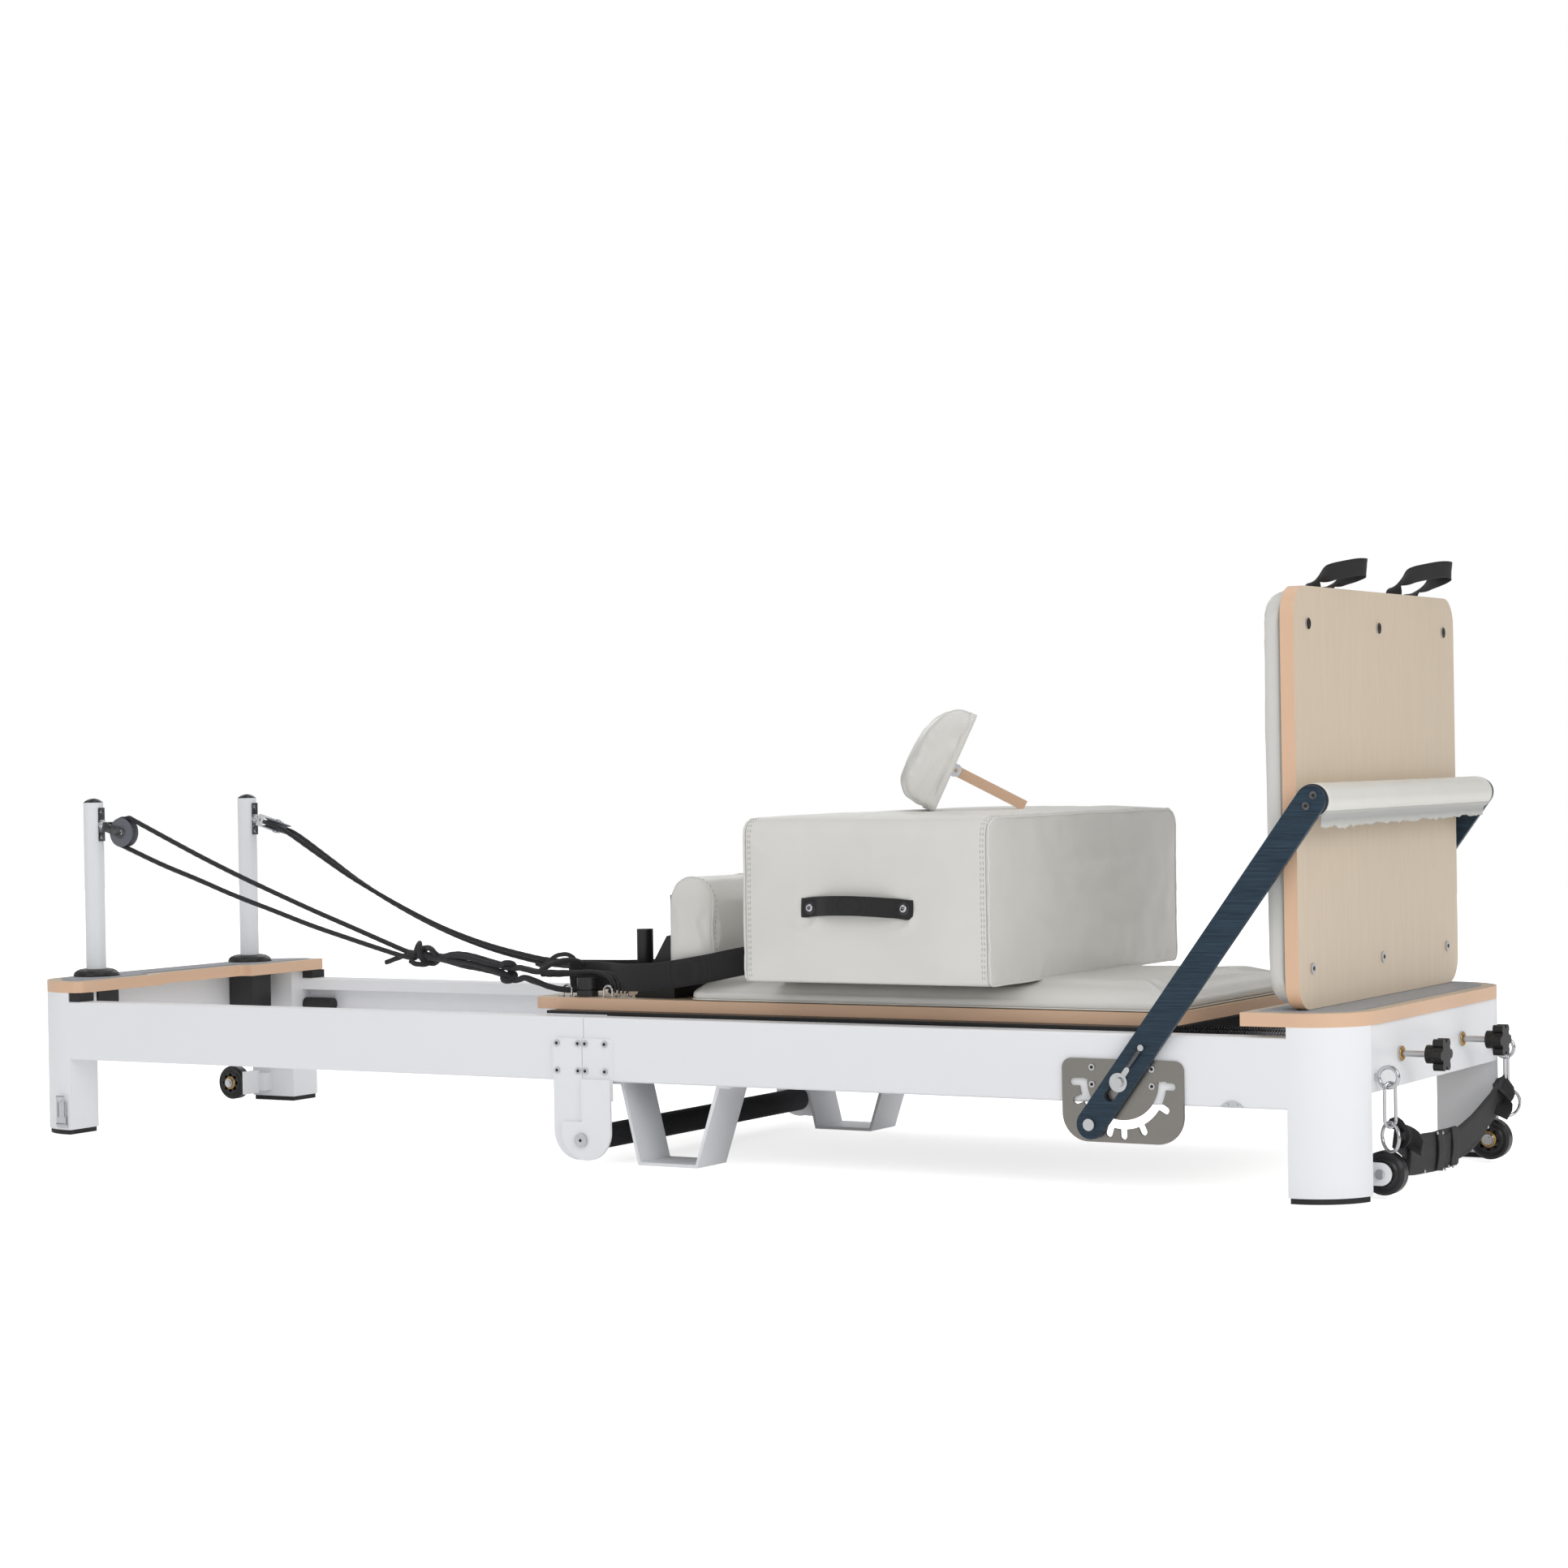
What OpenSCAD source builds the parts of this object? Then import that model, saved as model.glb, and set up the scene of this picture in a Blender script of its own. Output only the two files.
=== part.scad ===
// Folding pilates reformer: two frame halves, sliding carriage, foot bar,
// jump board, riser posts with swivel pulleys, shoulder rests, box and headrest.
// Millimetres, Z up. Floor at z = 0. The fold line lies at x = fold_x.
// The head end points to -X and the foot end to +X.

/* [Part] */
// which node to build

/* [Frame] */
// width over the outer faces of the rails
frame_w = 666; // [650:2:690]
// length of the head half, fold line to head end
head_len = 1151; // [1120:1:1160]
// length of the foot half, fold line to foot end
foot_len = 1251; // [1230:1:1270]
// underside of the rails above the floor
rail_z = 128; // [126:1:130]
// height of the rails
rail_h = 98; // [97:1:98]
// height of the fold pivot above the floor
pivot_z = 38; // [37:1:39]
// radius of the big outer corners in plan
corner_r = 90; // [80:1:92]

/* [Decks and risers] */
// thickness of the end decks
deck_t = 19; // [17:1:19]
// distance of each riser post from the centre line
post_y = 206; // [200:1:210]
// top of the riser posts above the floor
post_top = 562; // [540:1:580]
// outside radius of the riser posts
post_r = 17; // [16:0.5:18]

/* [Carriage] */
// length of the carriage board
carriage_len = 1103; // [1095:1:1105]
// width of the carriage board
carriage_w = 510; // [500:2:520]
// radius of the carriage rollers
roller_r = 27; // [26:0.5:27]

/* [Soft parts] */
// sitting box length along the rails
box_len = 415; // [400:5:415]
// sitting box length across the rails
box_w = 660; // [620:10:680]
// sitting box height
box_h = 246; // [220:1:250]

/* [Foot bar and jump board] */
// centre distance from the foot bar pivot to the roll
arm_len = 487; // [480:1:490]
// angle of the arms above the rails
arm_angle = 53.4; // [53:0.1:54]
// height of the jump board
jump_h = 582; // [560:1:600]
// width of the jump board
jump_w = 644; // [600:2:650]

/* [Hidden] */
fold_x = -63.25;
fit = 0.05;          // radial clearance of running and socket fits
gap = 0.5;           // clear gap between neighbouring pieces
base_gap = 0.1;      // pulley base to riser post
rail_t = 40;
rail_in = frame_w / 2 - rail_t;
rail_out = frame_w / 2;
rail_top = rail_z + rail_h;
leg_w = 98;
leg_in = rail_out - 70;
pad_h = 8;
deck_z = 241;
deck_top = deck_z + deck_t;
mat_t = 1.5;
roller_z = rail_z + 49.5;
board_z = 231;
board_top = board_z + 18;
pad_top = 285;
wheel_r = 30.5;
wheel_z = 35;
wheel_y = 222;
head_wheel_x = -1158;
foot_wheel_x = 1251;
bar_x = 909;         // foot bar pivot, from the fold line
bar_z = 159;
plate_t = 4;
arm_y = rail_out + 7;
arm_t = 8;
arm_half = 21;
pin_s = 75.5;        // pivot to lock pin along the arm
dowel_y = [-200, 200];
dowel_x = 1159;
spring_rows = [-120 : 60 : 120];
spring_z = 190;
spring_r = 10;
rollers_x = [42, 880];
box_z = 285.5;
box_x = 287;
rest_back = [433, 535];   // headrest back board, lower edge
rest_tilt = 25;
rest_turn = 30.6;    // the headrest stands askew on the box
prop_at = 71.5;      // prop pin, along the back board and behind it
prop_back = -10;
prop_turn = 93;
prop_long = 121.1;
knob_y = [-147, 106];
knob_z = 193;
eye_x = 1265;
eye_y = 245;
eye_z = 169;
clip_top = 152.7;     // centre of the top bow of the carabiners
beam_out = 1247;
post_x = -1104;       // riser posts, from the fold line
ball = [-1083, 524];  // ball joint of the pulley blocks, X and Z
white = [0.9, 0.91, 0.92];
beech = [0.9, 0.75, 0.62];
leather = [0.85, 0.85, 0.83];
steel = [0.75, 0.75, 0.76];
black = [0.08, 0.08, 0.09];
$fn = 48;

// ---- helpers -------------------------------------------------------------

module place() {
  translate([fold_x, 0, 0]) children();
}

// children on the far side, and mirrored to the near side
module both_sides() {
  children();
  mirror([0, 1, 0]) children();
}

// flat rounded rectangle from corner a to corner b
module round_rect(a, b, r) {
  translate([a[0] + r, a[1]]) square([b[0] - a[0] - 2 * r, b[1] - a[1]]);
  translate([a[0], a[1] + r]) square([b[0] - a[0], b[1] - a[1] - 2 * r]);
  for (x = [a[0] + r, b[0] - r], y = [a[1] + r, b[1] - r]) translate([x, y]) circle(r = r);
}

// half of a disc in plan, the half that points along X by side
module half_disc(x, y, r, side) {
  intersection() {
    translate([x, y]) circle(r = r, $fn = 96);
    translate([side > 0 ? x : x - r, y - r]) square([r, 2 * r]);
  }
}

module box_at(a, b) {
  translate(a) cube([b[0] - a[0], b[1] - a[1], b[2] - a[2]]);
}

// a flat shape drawn in X and Z, standing from y0 to y1
module wall_xz(y0, y1) {
  translate([0, y1, 0]) rotate([90, 0, 0]) linear_extrude(y1 - y0) children();
}

// a flat shape drawn in Y and Z, standing from x0 to x1
module wall_yz(x0, x1) {
  translate([x0, 0, 0]) rotate([90, 0, 90]) linear_extrude(x1 - x0) children();
}

module rod_y(x, z, y0, y1, r) {
  translate([x, y1, z]) rotate([90, 0, 0]) cylinder(r = r, h = y1 - y0);
}

module rod_x(x0, x1, y, z, r) {
  translate([x0, y, z]) rotate([0, 90, 0]) cylinder(r = r, h = x1 - x0);
}

module rod_z(x, y, z0, z1, r) {
  translate([x, y, z0]) cylinder(r = r, h = z1 - z0);
}

// a round bar from point a to point b
module rod_ab(a, b, r) {
  d = b - a;
  translate(a) rotate([0, acos(d[2] / norm(d)), atan2(d[1], d[0])]) cylinder(r = r, h = norm(d));
}

module ring(radius, wire) {
  rotate_extrude() translate([radius, 0]) circle(r = wire);
}

// button-head screw along +Y, head outside
module screw_y(x, z, y, r = 5, h = 2.5) {
  rod_y(x, z, y, y + h, r);
}

// ---- frame rails, legs and decks -----------------------------------------

// rail section on the far side with the inward track slot
module rail_section() {
  difference() {
    round_rect([rail_in, rail_z], [rail_out, rail_top], 4);
    translate([rail_in - 1, rail_z + 22]) square([26, 55]);
    round_rect([rail_in + 29, rail_z + 5], [rail_out - 4, rail_top - 5], 2);
  }
}

module foot_rails() {
  color(white) both_sides() difference() {
    wall_yz(gap, foot_len - leg_w) rail_section();
    rod_y(bar_x, bar_z, rail_out - 5, rail_out + 1, 8 + fit);
  }
}

module head_rails() {
  color(white) both_sides() wall_yz(-head_len + leg_w, -gap) rail_section();
}

// leg outline in plan for the far foot corner, hollow
module leg_plan(wall) {
  intersection() {
    translate([foot_len - leg_w + wall, leg_in + wall]) square([leg_w - 2 * wall, 70 - 2 * wall]);
    union() {
      square([foot_len - corner_r, rail_out - wall]);
      square([foot_len - wall, rail_out - corner_r]);
      translate([foot_len - corner_r, rail_out - corner_r]) circle(r = corner_r - wall, $fn = 96);
    }
  }
}

module leg_pair() {
  both_sides() translate([0, 0, pad_h]) linear_extrude(deck_z - pad_h) difference() {
    leg_plan(0);
    leg_plan(4);
  }
}

// bracket with one cheek that carries a transport wheel on the inside of the leg
module wheel_bracket(x, side) {
  both_sides() difference() {
    union() {
      box_at([x - side * 38 - 3, wheel_y - 20, wheel_z - 20], [x - side * 38 + 3, wheel_y + 20, wheel_z + 22]);
      wall_xz(wheel_y + 17, wheel_y + 20) {
        translate([min(x, x - side * 38), wheel_z - 16]) square([38, 32]);
        translate([x, wheel_z]) circle(r = 16);
      }
      box_at([x - side * 38 - 3, wheel_y + 20, wheel_z - 16], [x - side * 38 + 15, leg_in, wheel_z + 16]);
    }
    rod_y(x, wheel_z, wheel_y + 15, wheel_y + 21, 5);
  }
}

module foot_end_frame() {
  color(white) {
    leg_pair();
    difference() {
      box_at([1219, -leg_in, rail_z + 20], [beam_out, leg_in, deck_z]);
      box_at([1223, -leg_in - 1, rail_z + 24], [beam_out - 4, leg_in + 1, deck_z - 4]);
      for (y = knob_y) rod_x(1200, 1260, y, knob_z, 4.5 + fit);
    }
    wheel_bracket(foot_wheel_x, 1);
  }
}

module head_end_frame() {
  color(white) {
    translate([foot_len - head_len, 0, 0]) mirror([1, 0, 0]) leg_pair();
    box_at([-1148, -leg_in, rail_z + 20], [-1133, leg_in, deck_z]);
    wheel_bracket(head_wheel_x, -1);
  }
}

module foot_deck() {
  color(beech) difference() {
    translate([0, 0, deck_z]) linear_extrude(deck_t) deck_plan(0);
    for (y = dowel_y) rod_z(dowel_x, y, deck_z - 1, deck_top + 5, 8.3);
  }
  color([0.6, 0.62, 0.66]) difference() {
    translate([0, 0, deck_top]) linear_extrude(mat_t) deck_plan(20);
    for (y = dowel_y) rod_z(dowel_x, y, deck_top - 1, deck_top + 5, 8.3);
  }
}

// foot deck outline with big outer corners
module deck_plan(inset) {
  r = corner_r - inset / 2;
  x1 = foot_len - inset;
  y1 = rail_out - inset;
  translate([1086 + inset, -y1]) square([x1 - 1086 - inset - r, 2 * y1]);
  translate([1086 + inset, -y1 + r]) square([x1 - 1086 - inset, 2 * (y1 - r)]);
  for (y = [-1, 1]) half_disc(x1 - r, y * (y1 - r), r, 1);
}

// head deck outline, with the shallow bay between the risers
module head_plan(inset) {
  r = corner_r - inset / 2;
  x0 = -head_len + inset;
  x1 = -1028 - inset;
  y1 = rail_out - inset;
  difference() {
    union() {
      translate([x0 + r, -y1]) square([x1 - 14 - x0 - r, 2 * y1]);
      translate([x0, -y1 + r]) square([x1 - x0, 2 * (y1 - r)]);
      translate([x0 + r, -y1 + 14]) square([x1 - x0 - r, 2 * y1 - 28]);
      for (y = [-1, 1]) {
        half_disc(x0 + r, y * (y1 - r), r, -1);
        translate([x1 - 14, y * (y1 - 14)]) circle(r = 14);
      }
    }
    round_rect([-1050 - inset, -118 - inset], [-1000, 118 + inset], 12);
    for (y = [-post_y, post_y]) translate([post_x, y]) circle(r = post_r + fit + (inset > 0 ? 24 : 0));
  }
}

module head_deck() {
  color(beech) translate([0, 0, deck_z]) linear_extrude(deck_t) head_plan(0);
  color([0.6, 0.62, 0.66]) translate([0, 0, deck_top]) linear_extrude(mat_t) head_plan(20);
}

module foot_rubber_pads() {
  color(black) both_sides() {
    linear_extrude(pad_h) leg_plan(2.5);
    rod_x(rollers_x[1] + roller_r + gap, 945, rail_in + 12, roller_z, 12);
  }
}

module head_rubber_pads() {
  color(black) {
    translate([foot_len - head_len, 0, 0]) mirror([1, 0, 0]) both_sides() linear_extrude(pad_h) leg_plan(2.5);
    both_sides() rod_x(-1052, -990, rail_in + 12, roller_z, 12);
    both_sides() box_at([-1052, rail_in + 2, rail_top], [-1030, rail_out - 2, rail_top + 14]);
  }
}

// flat-bar trapezoid foot with flanges, on the foot half next to the fold
module centre_foot_shape() {
  polygon([[34, rail_z], [34, rail_z - 5], [53, rail_z - 5], [83, 0], [189, 0], [231, rail_z - 5],
    [250, rail_z - 5], [250, rail_z], [226, rail_z], [186, 5], [87, 5], [57, rail_z]]);
}

module centre_feet() {
  color(white) both_sides() wall_xz(228, 312) centre_foot_shape();
}

// ---- fold hinge ----------------------------------------------------------

module head_hinge_plates() {
  color(white) both_sides() wall_xz(rail_out, rail_out + 5) difference() {
    union() {
      translate([-54, 52]) square([54 - gap, 136]);
      translate([-48, 188]) square([48 - gap, 6]);
      translate([-48, 188]) circle(r = 6);
      translate([-9, 52]) circle(r = 45, $fn = 96);
      translate([0, pivot_z]) circle(r = 30);
    }
    translate([gap, 60]) square([60, 60]);
    translate([0, pivot_z]) circle(r = 8 + fit);
  }
}

module foot_hinge_plates() {
  color(white) both_sides() {
    wall_xz(rail_out, rail_out + 5) {
      translate([gap, 99]) square([53 - gap, 89]);
      translate([gap, 188]) square([47 - gap, 6]);
      translate([47, 188]) circle(r = 6);
    }
    wall_xz(rail_out + 5 + 0.2, rail_out + 10) difference() {
      union() {
        translate([gap, 52]) square([53 - gap, 80]);
        translate([8, 52]) circle(r = 45, $fn = 96);
        translate([0, pivot_z]) circle(r = 27);
      }
      translate([-60, 66]) square([60 + gap, 80]);
      translate([0, pivot_z]) circle(r = 8);
    }
    wall_xz(rail_out + 4.9, rail_out + 5.3) translate([gap + 2, 102]) square([49, 28]);
  }
}

module fold_grip_tube() {
  color(black) difference() {
    rod_y(0, pivot_z, -rail_out + 16, rail_out - 16, 19);
    rod_y(0, pivot_z, -rail_out, rail_out, 8 + fit);
  }
}

module foot_fixings() {
  color(steel) {
    rod_y(0, pivot_z, -rail_out - 10, rail_out + 10, 8);
    both_sides() {
      rod_y(0, pivot_z, rail_out + 10, rail_out + 14, 11);
      for (x = [6, 42], z = [144, 186]) screw_y(x, z, rail_out + 5, 5, 2);
      for (x = [-46, 46], z = [-5, 19]) screw_y(bar_x + x, bar_z + z, rail_out + plate_t, 4.5, 1.8);
    }
    for (y = knob_y) difference() {
      rod_x(beam_out, beam_out + 3, y, knob_z, 11);
      rod_x(beam_out - 1, beam_out + 4, y, knob_z, 4.5 + fit);
    }
    both_sides() {
      wheel_axle(foot_wheel_x);
      latch_keeper();
    }
  }
}

// half-round catch plate with two screws under the latch of the folded frame
module latch_keeper() {
  wall_xz(rail_out, rail_out + 2) intersection() {
    translate([1073, 118]) circle(r = 20);
    translate([1050, rail_z + gap]) square([46, 30]);
  }
  for (x = [1066, 1080]) screw_y(x, 132, rail_out + 2, 2.5, 1.2);
}

module wheel_axle(x) {
  rod_y(x, wheel_z, wheel_y - 21, wheel_y + 20, 5);
  rod_y(x, wheel_z, wheel_y - 19, wheel_y - 13 - gap, 8);
  rod_y(x, wheel_z, wheel_y + 13 + gap, wheel_y + 17, 8);
  rod_y(x, wheel_z, wheel_y + 20, wheel_y + 23, 7);
}

module head_fixings() {
  color(steel) both_sides() {
    for (x = [-46, -7], z = [144, 186]) screw_y(x, z, rail_out + 5, 5, 2);
    wheel_axle(head_wheel_x);
    pulley_base();
    box_at([-1082, rail_out, 12], [-1058, rail_out + 2, 30]);
  }
}

// ---- wheels, knobs, clips -------------------------------------------------

module wheel(x, side) {
  color(black) difference() {
    translate([x, side * wheel_y, wheel_z]) rotate([90, 0, 0])
      rotate_extrude($fn = 72) polygon([[5 + fit, -13], [20, -13], [22, -11], [27, -12], [wheel_r, -8],
        [wheel_r, 8], [27, 12], [22, 11], [20, 13], [5 + fit, 13]]);
    for (a = [0 : 45 : 315]) translate([x, side * wheel_y, wheel_z]) rotate([0, a, 0])
      translate([14, 0, 0]) rotate([90, 0, 0]) translate([0, 0, -20]) cylinder(r = 3.4, h = 40, $fn = 24);
  }
}

module star_knob(y) {
  color(steel) rod_x(beam_out - 22, 1287, y, knob_z, 4.5);
  color(black) {
    rod_x(1287, 1300, y, knob_z, 13);
    rod_x(1300, 1315, y, knob_z, 17);
    for (a = [0 : 60 : 300]) rod_x(1300, 1315, y + 18 * cos(a), knob_z + 18 * sin(a), 6.5);
  }
}

module eye_bolts() {
  color(steel) for (s = [-1, 1]) {
    rod_x(beam_out, beam_out + 6, s * eye_y, eye_z, 5);
    translate([eye_x + 1, s * eye_y, eye_z]) rotate([90, 0, 0]) ring(14, 3);
  }
}

// carabiners through the eye rings and the D rings they hold
module strap_clips() {
  color(steel) for (s = [-1, 1]) translate([eye_x + 3, s * eye_y, 0]) rotate([0, 0, s * 35]) {
    for (y = [-9, 9]) rod_z(0, y, 110, clip_top, 2.4);
    translate([0, 0, clip_top]) rotate([0, 90, 0]) ring_half(9, 2.4, 1);
    translate([0, 0, 110]) rotate([0, 90, 0]) ring_half(9, 2.4, -1);
    translate([0, 0, 87]) rotate([90, 0, 0]) ring(20, 2.4);
  }
}

// half of a wire ring, the half that points up (side 1) or down (side -1)
module ring_half(radius, wire, side) {
  intersection() {
    ring(radius, wire);
    translate([side > 0 ? -30 : 0, -30, -10]) cube([30, 60, 20]);
  }
}

module foot_strap() {
  color(black) wall_yz(1262, 1267) polygon([[-230, 70], [-195, 67], [-120, 34], [0, 24], [120, 34], [195, 67],
    [230, 70], [230, 84], [190, 104], [120, 76], [0, 64], [-120, 76], [-190, 104], [-230, 84]]);
}

// ---- jump board ----------------------------------------------------------

module jump_board() {
  color(beech) wall_yz(1149, 1169)
    round_rect([-jump_w / 2, deck_top + 2], [jump_w / 2, deck_top + 2 + jump_h], 40);
}

module jump_board_pad() {
  color(leather) wall_yz(1121, 1149)
    round_rect([-jump_w / 2 + 1, deck_top + 4], [jump_w / 2 - 1, deck_top + jump_h], 52);
}

module jump_board_hardware() {
  color(steel) {
    for (y = [-272, 0, 272], z = [58, 532]) rod_x(1169, 1171.5, y, deck_top + z, 8);
    for (y = dowel_y) rod_z(dowel_x, y, deck_z + 2, deck_top + 2, 8);
  }
}

module jump_board_loops() {
  color(black) for (y = [-172, 150]) translate([0, y, deck_top + 2 + jump_h]) wall_yz(1142, 1168)
    difference() {
      intersection() {
        circle(r = 46);
        translate([-50, 0]) square([100, 50]);
      }
      circle(r = 43);
    }
}

// ---- foot bar ------------------------------------------------------------

// moves its children into the arm's frame: X along the arm, origin at the pivot
module on_arm() {
  translate([bar_x, 0, bar_z]) rotate([0, -arm_angle, 0]) children();
}

module quadrant_plates() {
  color([0.53, 0.52, 0.5]) both_sides() translate([bar_x, 0, bar_z]) wall_xz(rail_out, rail_out + plate_t)
    difference() {
      union() {
        round_rect([-93, -86], [93, 31], 14);
        translate([-93, -40]) square([186, 40]);
      }
      difference() {
        translate([-100, -100]) square([200, 54]);
        for (s = [-1, 1]) translate([s * 53, -46]) circle(r = 40, $fn = 96);
        translate([-53, -90]) square([106, 60]);
      }
      circle(r = 8 + fit);
      intersection() {
        difference() {
          circle(r = 67, $fn = 96);
          circle(r = 54, $fn = 96);
        }
        translate([-90, -90]) square([180, 92]);
      }
      for (a = [182, 202, 233.4, 254, 271, 295, 330, 356]) rotate(a) {
        translate([58, -5.3]) square([18, 10.6]);
        translate([76, 0]) circle(r = 5.3);
      }
    }
}

module footbar_pivots() {
  color(steel) both_sides() on_arm() {
    rod_y(0, 0, rail_out - 4, arm_y + arm_t + 0.3, 8);
    rod_y(0, 0, arm_y + arm_t + 0.3, arm_y + arm_t + 2.3, 13.5);
    rod_y(0, 0, arm_y + arm_t + 2.3, arm_y + arm_t + 7, 7.5);
    wall_xz(arm_y + arm_t + 0.3, arm_y + arm_t + 1.8) {
      translate([8, -4]) square([14, 8]);
      translate([22, 0]) circle(r = 4);
    }
  }
}

module footbar_springs() {
  color(steel) both_sides() on_arm() translate([26.5, arm_y + arm_t + 4.2, 0]) rotate([0, 90, 0]) difference() {
    cylinder(r = 3.6, h = 30.5);
    translate([0, 0, -1]) cylinder(r = 2.4, h = 33);
  }
}

module footbar_arms() {
  color([0.2, 0.28, 0.36]) both_sides() on_arm() wall_xz(arm_y, arm_y + arm_t) difference() {
    union() {
      translate([-pin_s, -arm_half]) square([arm_len + pin_s, 2 * arm_half]);
      translate([-pin_s, 0]) circle(r = arm_half, $fn = 64);
      translate([arm_len, 0]) circle(r = arm_half, $fn = 64);
    }
    circle(r = 8.3);
    translate([-24, 0]) circle(r = 8.3);
    translate([-24, -8.3]) square([24, 16.6]);
    translate([-pin_s, 0]) circle(r = 5 + fit);
  }
}

module footbar_tube() {
  color(black) on_arm() {
    difference() {
      rod_y(arm_len, 0, -arm_y, arm_y, 14);
      rod_y(arm_len, 0, -arm_y - 1, arm_y + 1, 11);
    }
    both_sides() difference() {
      rod_y(arm_len, 0, arm_y - 3, arm_y, arm_half - 0.3);
      rod_y(arm_len, 0, arm_y - 4, arm_y + 1, 11);
    }
  }
}

module footbar_cover() {
  color(leather) on_arm() difference() {
    rod_y(arm_len, 0, -arm_y + 3.3, arm_y - 3.3, 20.5);
    rod_y(arm_len, 0, -arm_y, arm_y, 14 + fit);
  }
}

module footbar_screws() {
  color(steel) both_sides() on_arm() {
    for (s = [arm_len - 9, arm_len + 9]) rod_y(s, 0, arm_y + arm_t, arm_y + arm_t + 2.5, 5.5);
    rod_y(62, 0, arm_y + arm_t, arm_y + arm_t + 7, 4.5);
    rod_y(-pin_s, 0, rail_out + plate_t + 0.4, arm_y + arm_t, 5);
    rod_y(-pin_s, 0, arm_y + arm_t, arm_y + arm_t + 6, 8.5);
  }
}

// ---- carriage ------------------------------------------------------------

module carriage_board() {
  color(beech) translate([0, 0, board_z]) linear_extrude(18)
    round_rect([-150, -carriage_w / 2], [-150 + carriage_len, carriage_w / 2], 22);
}

module carriage_pad() {
  color(leather) translate([0, 0, board_top]) {
    linear_extrude(pad_top - board_top) round_rect([134, -250], [945, 250], 26);
    linear_extrude(48) round_rect([-112, -62], [70, 62], 30);
  }
}

module carriage_frame() {
  color(black) {
    box_at([-101, -285, rail_top + gap], [944, 285, board_z]);
    both_sides() {
      box_at([12, 279, roller_z - 20], [905, 285, rail_top + gap]);
      for (x = [300, 620]) box_at([x, 285, roller_z + 30], [x + 40, rail_in - gap, roller_z + 44]);
      for (x = rollers_x) rod_y(x, roller_z, 270, rail_in + 24, 6);
    }
    box_at([628, -150, 181], [640, 150, rail_top + gap]);
    for (y = spring_rows) rod_x(640, 652, y, spring_z, 3.5);
  }
}

// the roller pair near x, on their axles in the rail tracks
module carriage_rollers(x) {
  color([0.2, 0.2, 0.22]) both_sides() difference() {
    rod_y(x, roller_z, rail_in + 1.5, rail_in + 22, roller_r);
    rod_y(x, roller_z, rail_in - 1, rail_in + 25, 6 + fit);
  }
}

module resistance_springs() {
  color(steel) for (y = spring_rows) difference() {
    rod_x(652.5, 1027.5, y, spring_z, spring_r);
    rod_x(650, 1030, y, spring_z, spring_r - 3);
  }
}

module spring_bar() {
  color(steel) {
    box_at([1040, -rail_in + 2, 176], [1052, rail_in - 2, 204]);
    for (y = spring_rows) rod_x(1028, 1040, y, spring_z, 3.5);
    both_sides() box_at([1036, rail_in - 2, 172], [1056, rail_in, 208]);
  }
}

module rope_eyes() {
  color(steel) both_sides() for (p = [[-100, 228], [-22, 230], [-4, 214]])
    translate([p[0], p[1], board_top]) {
      for (x = [-8, 8]) rod_z(x, 0, 0, 10, 1.8);
      for (x = [-11, 11]) translate([x, 0, 0]) cylinder(r = 5, h = 1.5);
      translate([0, 0, 10]) rotate([90, 0, 0]) rotate([0, 0, 90]) ring_half(8, 1.8, -1);
    }
}

module strap_pegs() {
  color(black) both_sides() {
    rod_z(0, 155, board_top, 353, 13);
    rod_z(-66, 222, board_top, 259, 17);
    rod_z(-66, 222, 259, 261, 13);
    rod_z(-66, 222, 261, 279, 16.5);
  }
}

module shoulder_brackets() {
  color(black) both_sides() {
    box_at([22, 90, board_top], [95, 220, board_top + 5]);
    box_at([90, 90, board_top + 5], [95, 220, 410]);
    for (y = [90, 214]) wall_xz(y, y + 6) difference() {
      polygon([[24, 252], [91, 252], [91, 348], [82, 346]]);
      translate([20, 352]) circle(r = 44);
    }
  }
}

module shoulder_pad(side) {
  color(leather) mirror([0, side < 0 ? 1 : 0, 0]) wall_xz(74, 238) {
    translate([95 + gap, 294]) square([80, 106]);
    translate([135 + gap, 400]) circle(r = 40, $fn = 96);
    translate([99 + gap, 290]) square([72, 10]);
  }
}

module sitting_box() {
  color(leather) wall_yz(box_x, box_x + box_len)
    round_rect([-box_w / 2, box_z], [box_w / 2, box_z + box_h], 26);
}

module box_handles() {
  color(black) both_sides() {
    box_at([392, box_w / 2, 382], [422, box_w / 2 + 3, 413]);
    box_at([549, box_w / 2, 382], [579, box_w / 2 + 3, 413]);
    box_at([420, box_w / 2 + 3, 383], [551, box_w / 2 + 6, 412]);
    for (x = [407, 564]) rod_y(x, 398, box_w / 2 + 3, box_w / 2 + 6, 9);
  }
}

// headrest frame: X up the back board, Z out of its back
module on_headrest() {
  translate([rest_back[0], 0, rest_back[1]]) rotate([0, 0, rest_turn]) rotate([0, -90 + rest_tilt, 0])
    children();
}

module headrest_pad() {
  color(leather) on_headrest() {
    wall_xz(-110, 110) polygon([[0, 0], [1, 22], [2, 37], [9, 50.5], [19, 57], [31, 59.5], [58, 60.5],
      [87, 60.5], [113, 57], [140, 47], [154, 35.5], [160, 25], [161.5, 11.5], [160, 0]]);
    for (y = [-21, 14.5]) difference() {
      translate([prop_at - 10, y, -18]) cube([20, 6.5, 18.5]);
      translate([prop_at, y + 7, prop_back]) rotate([90, 0, 0]) cylinder(r = 3 + fit, h = 8);
    }
  }
}

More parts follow.
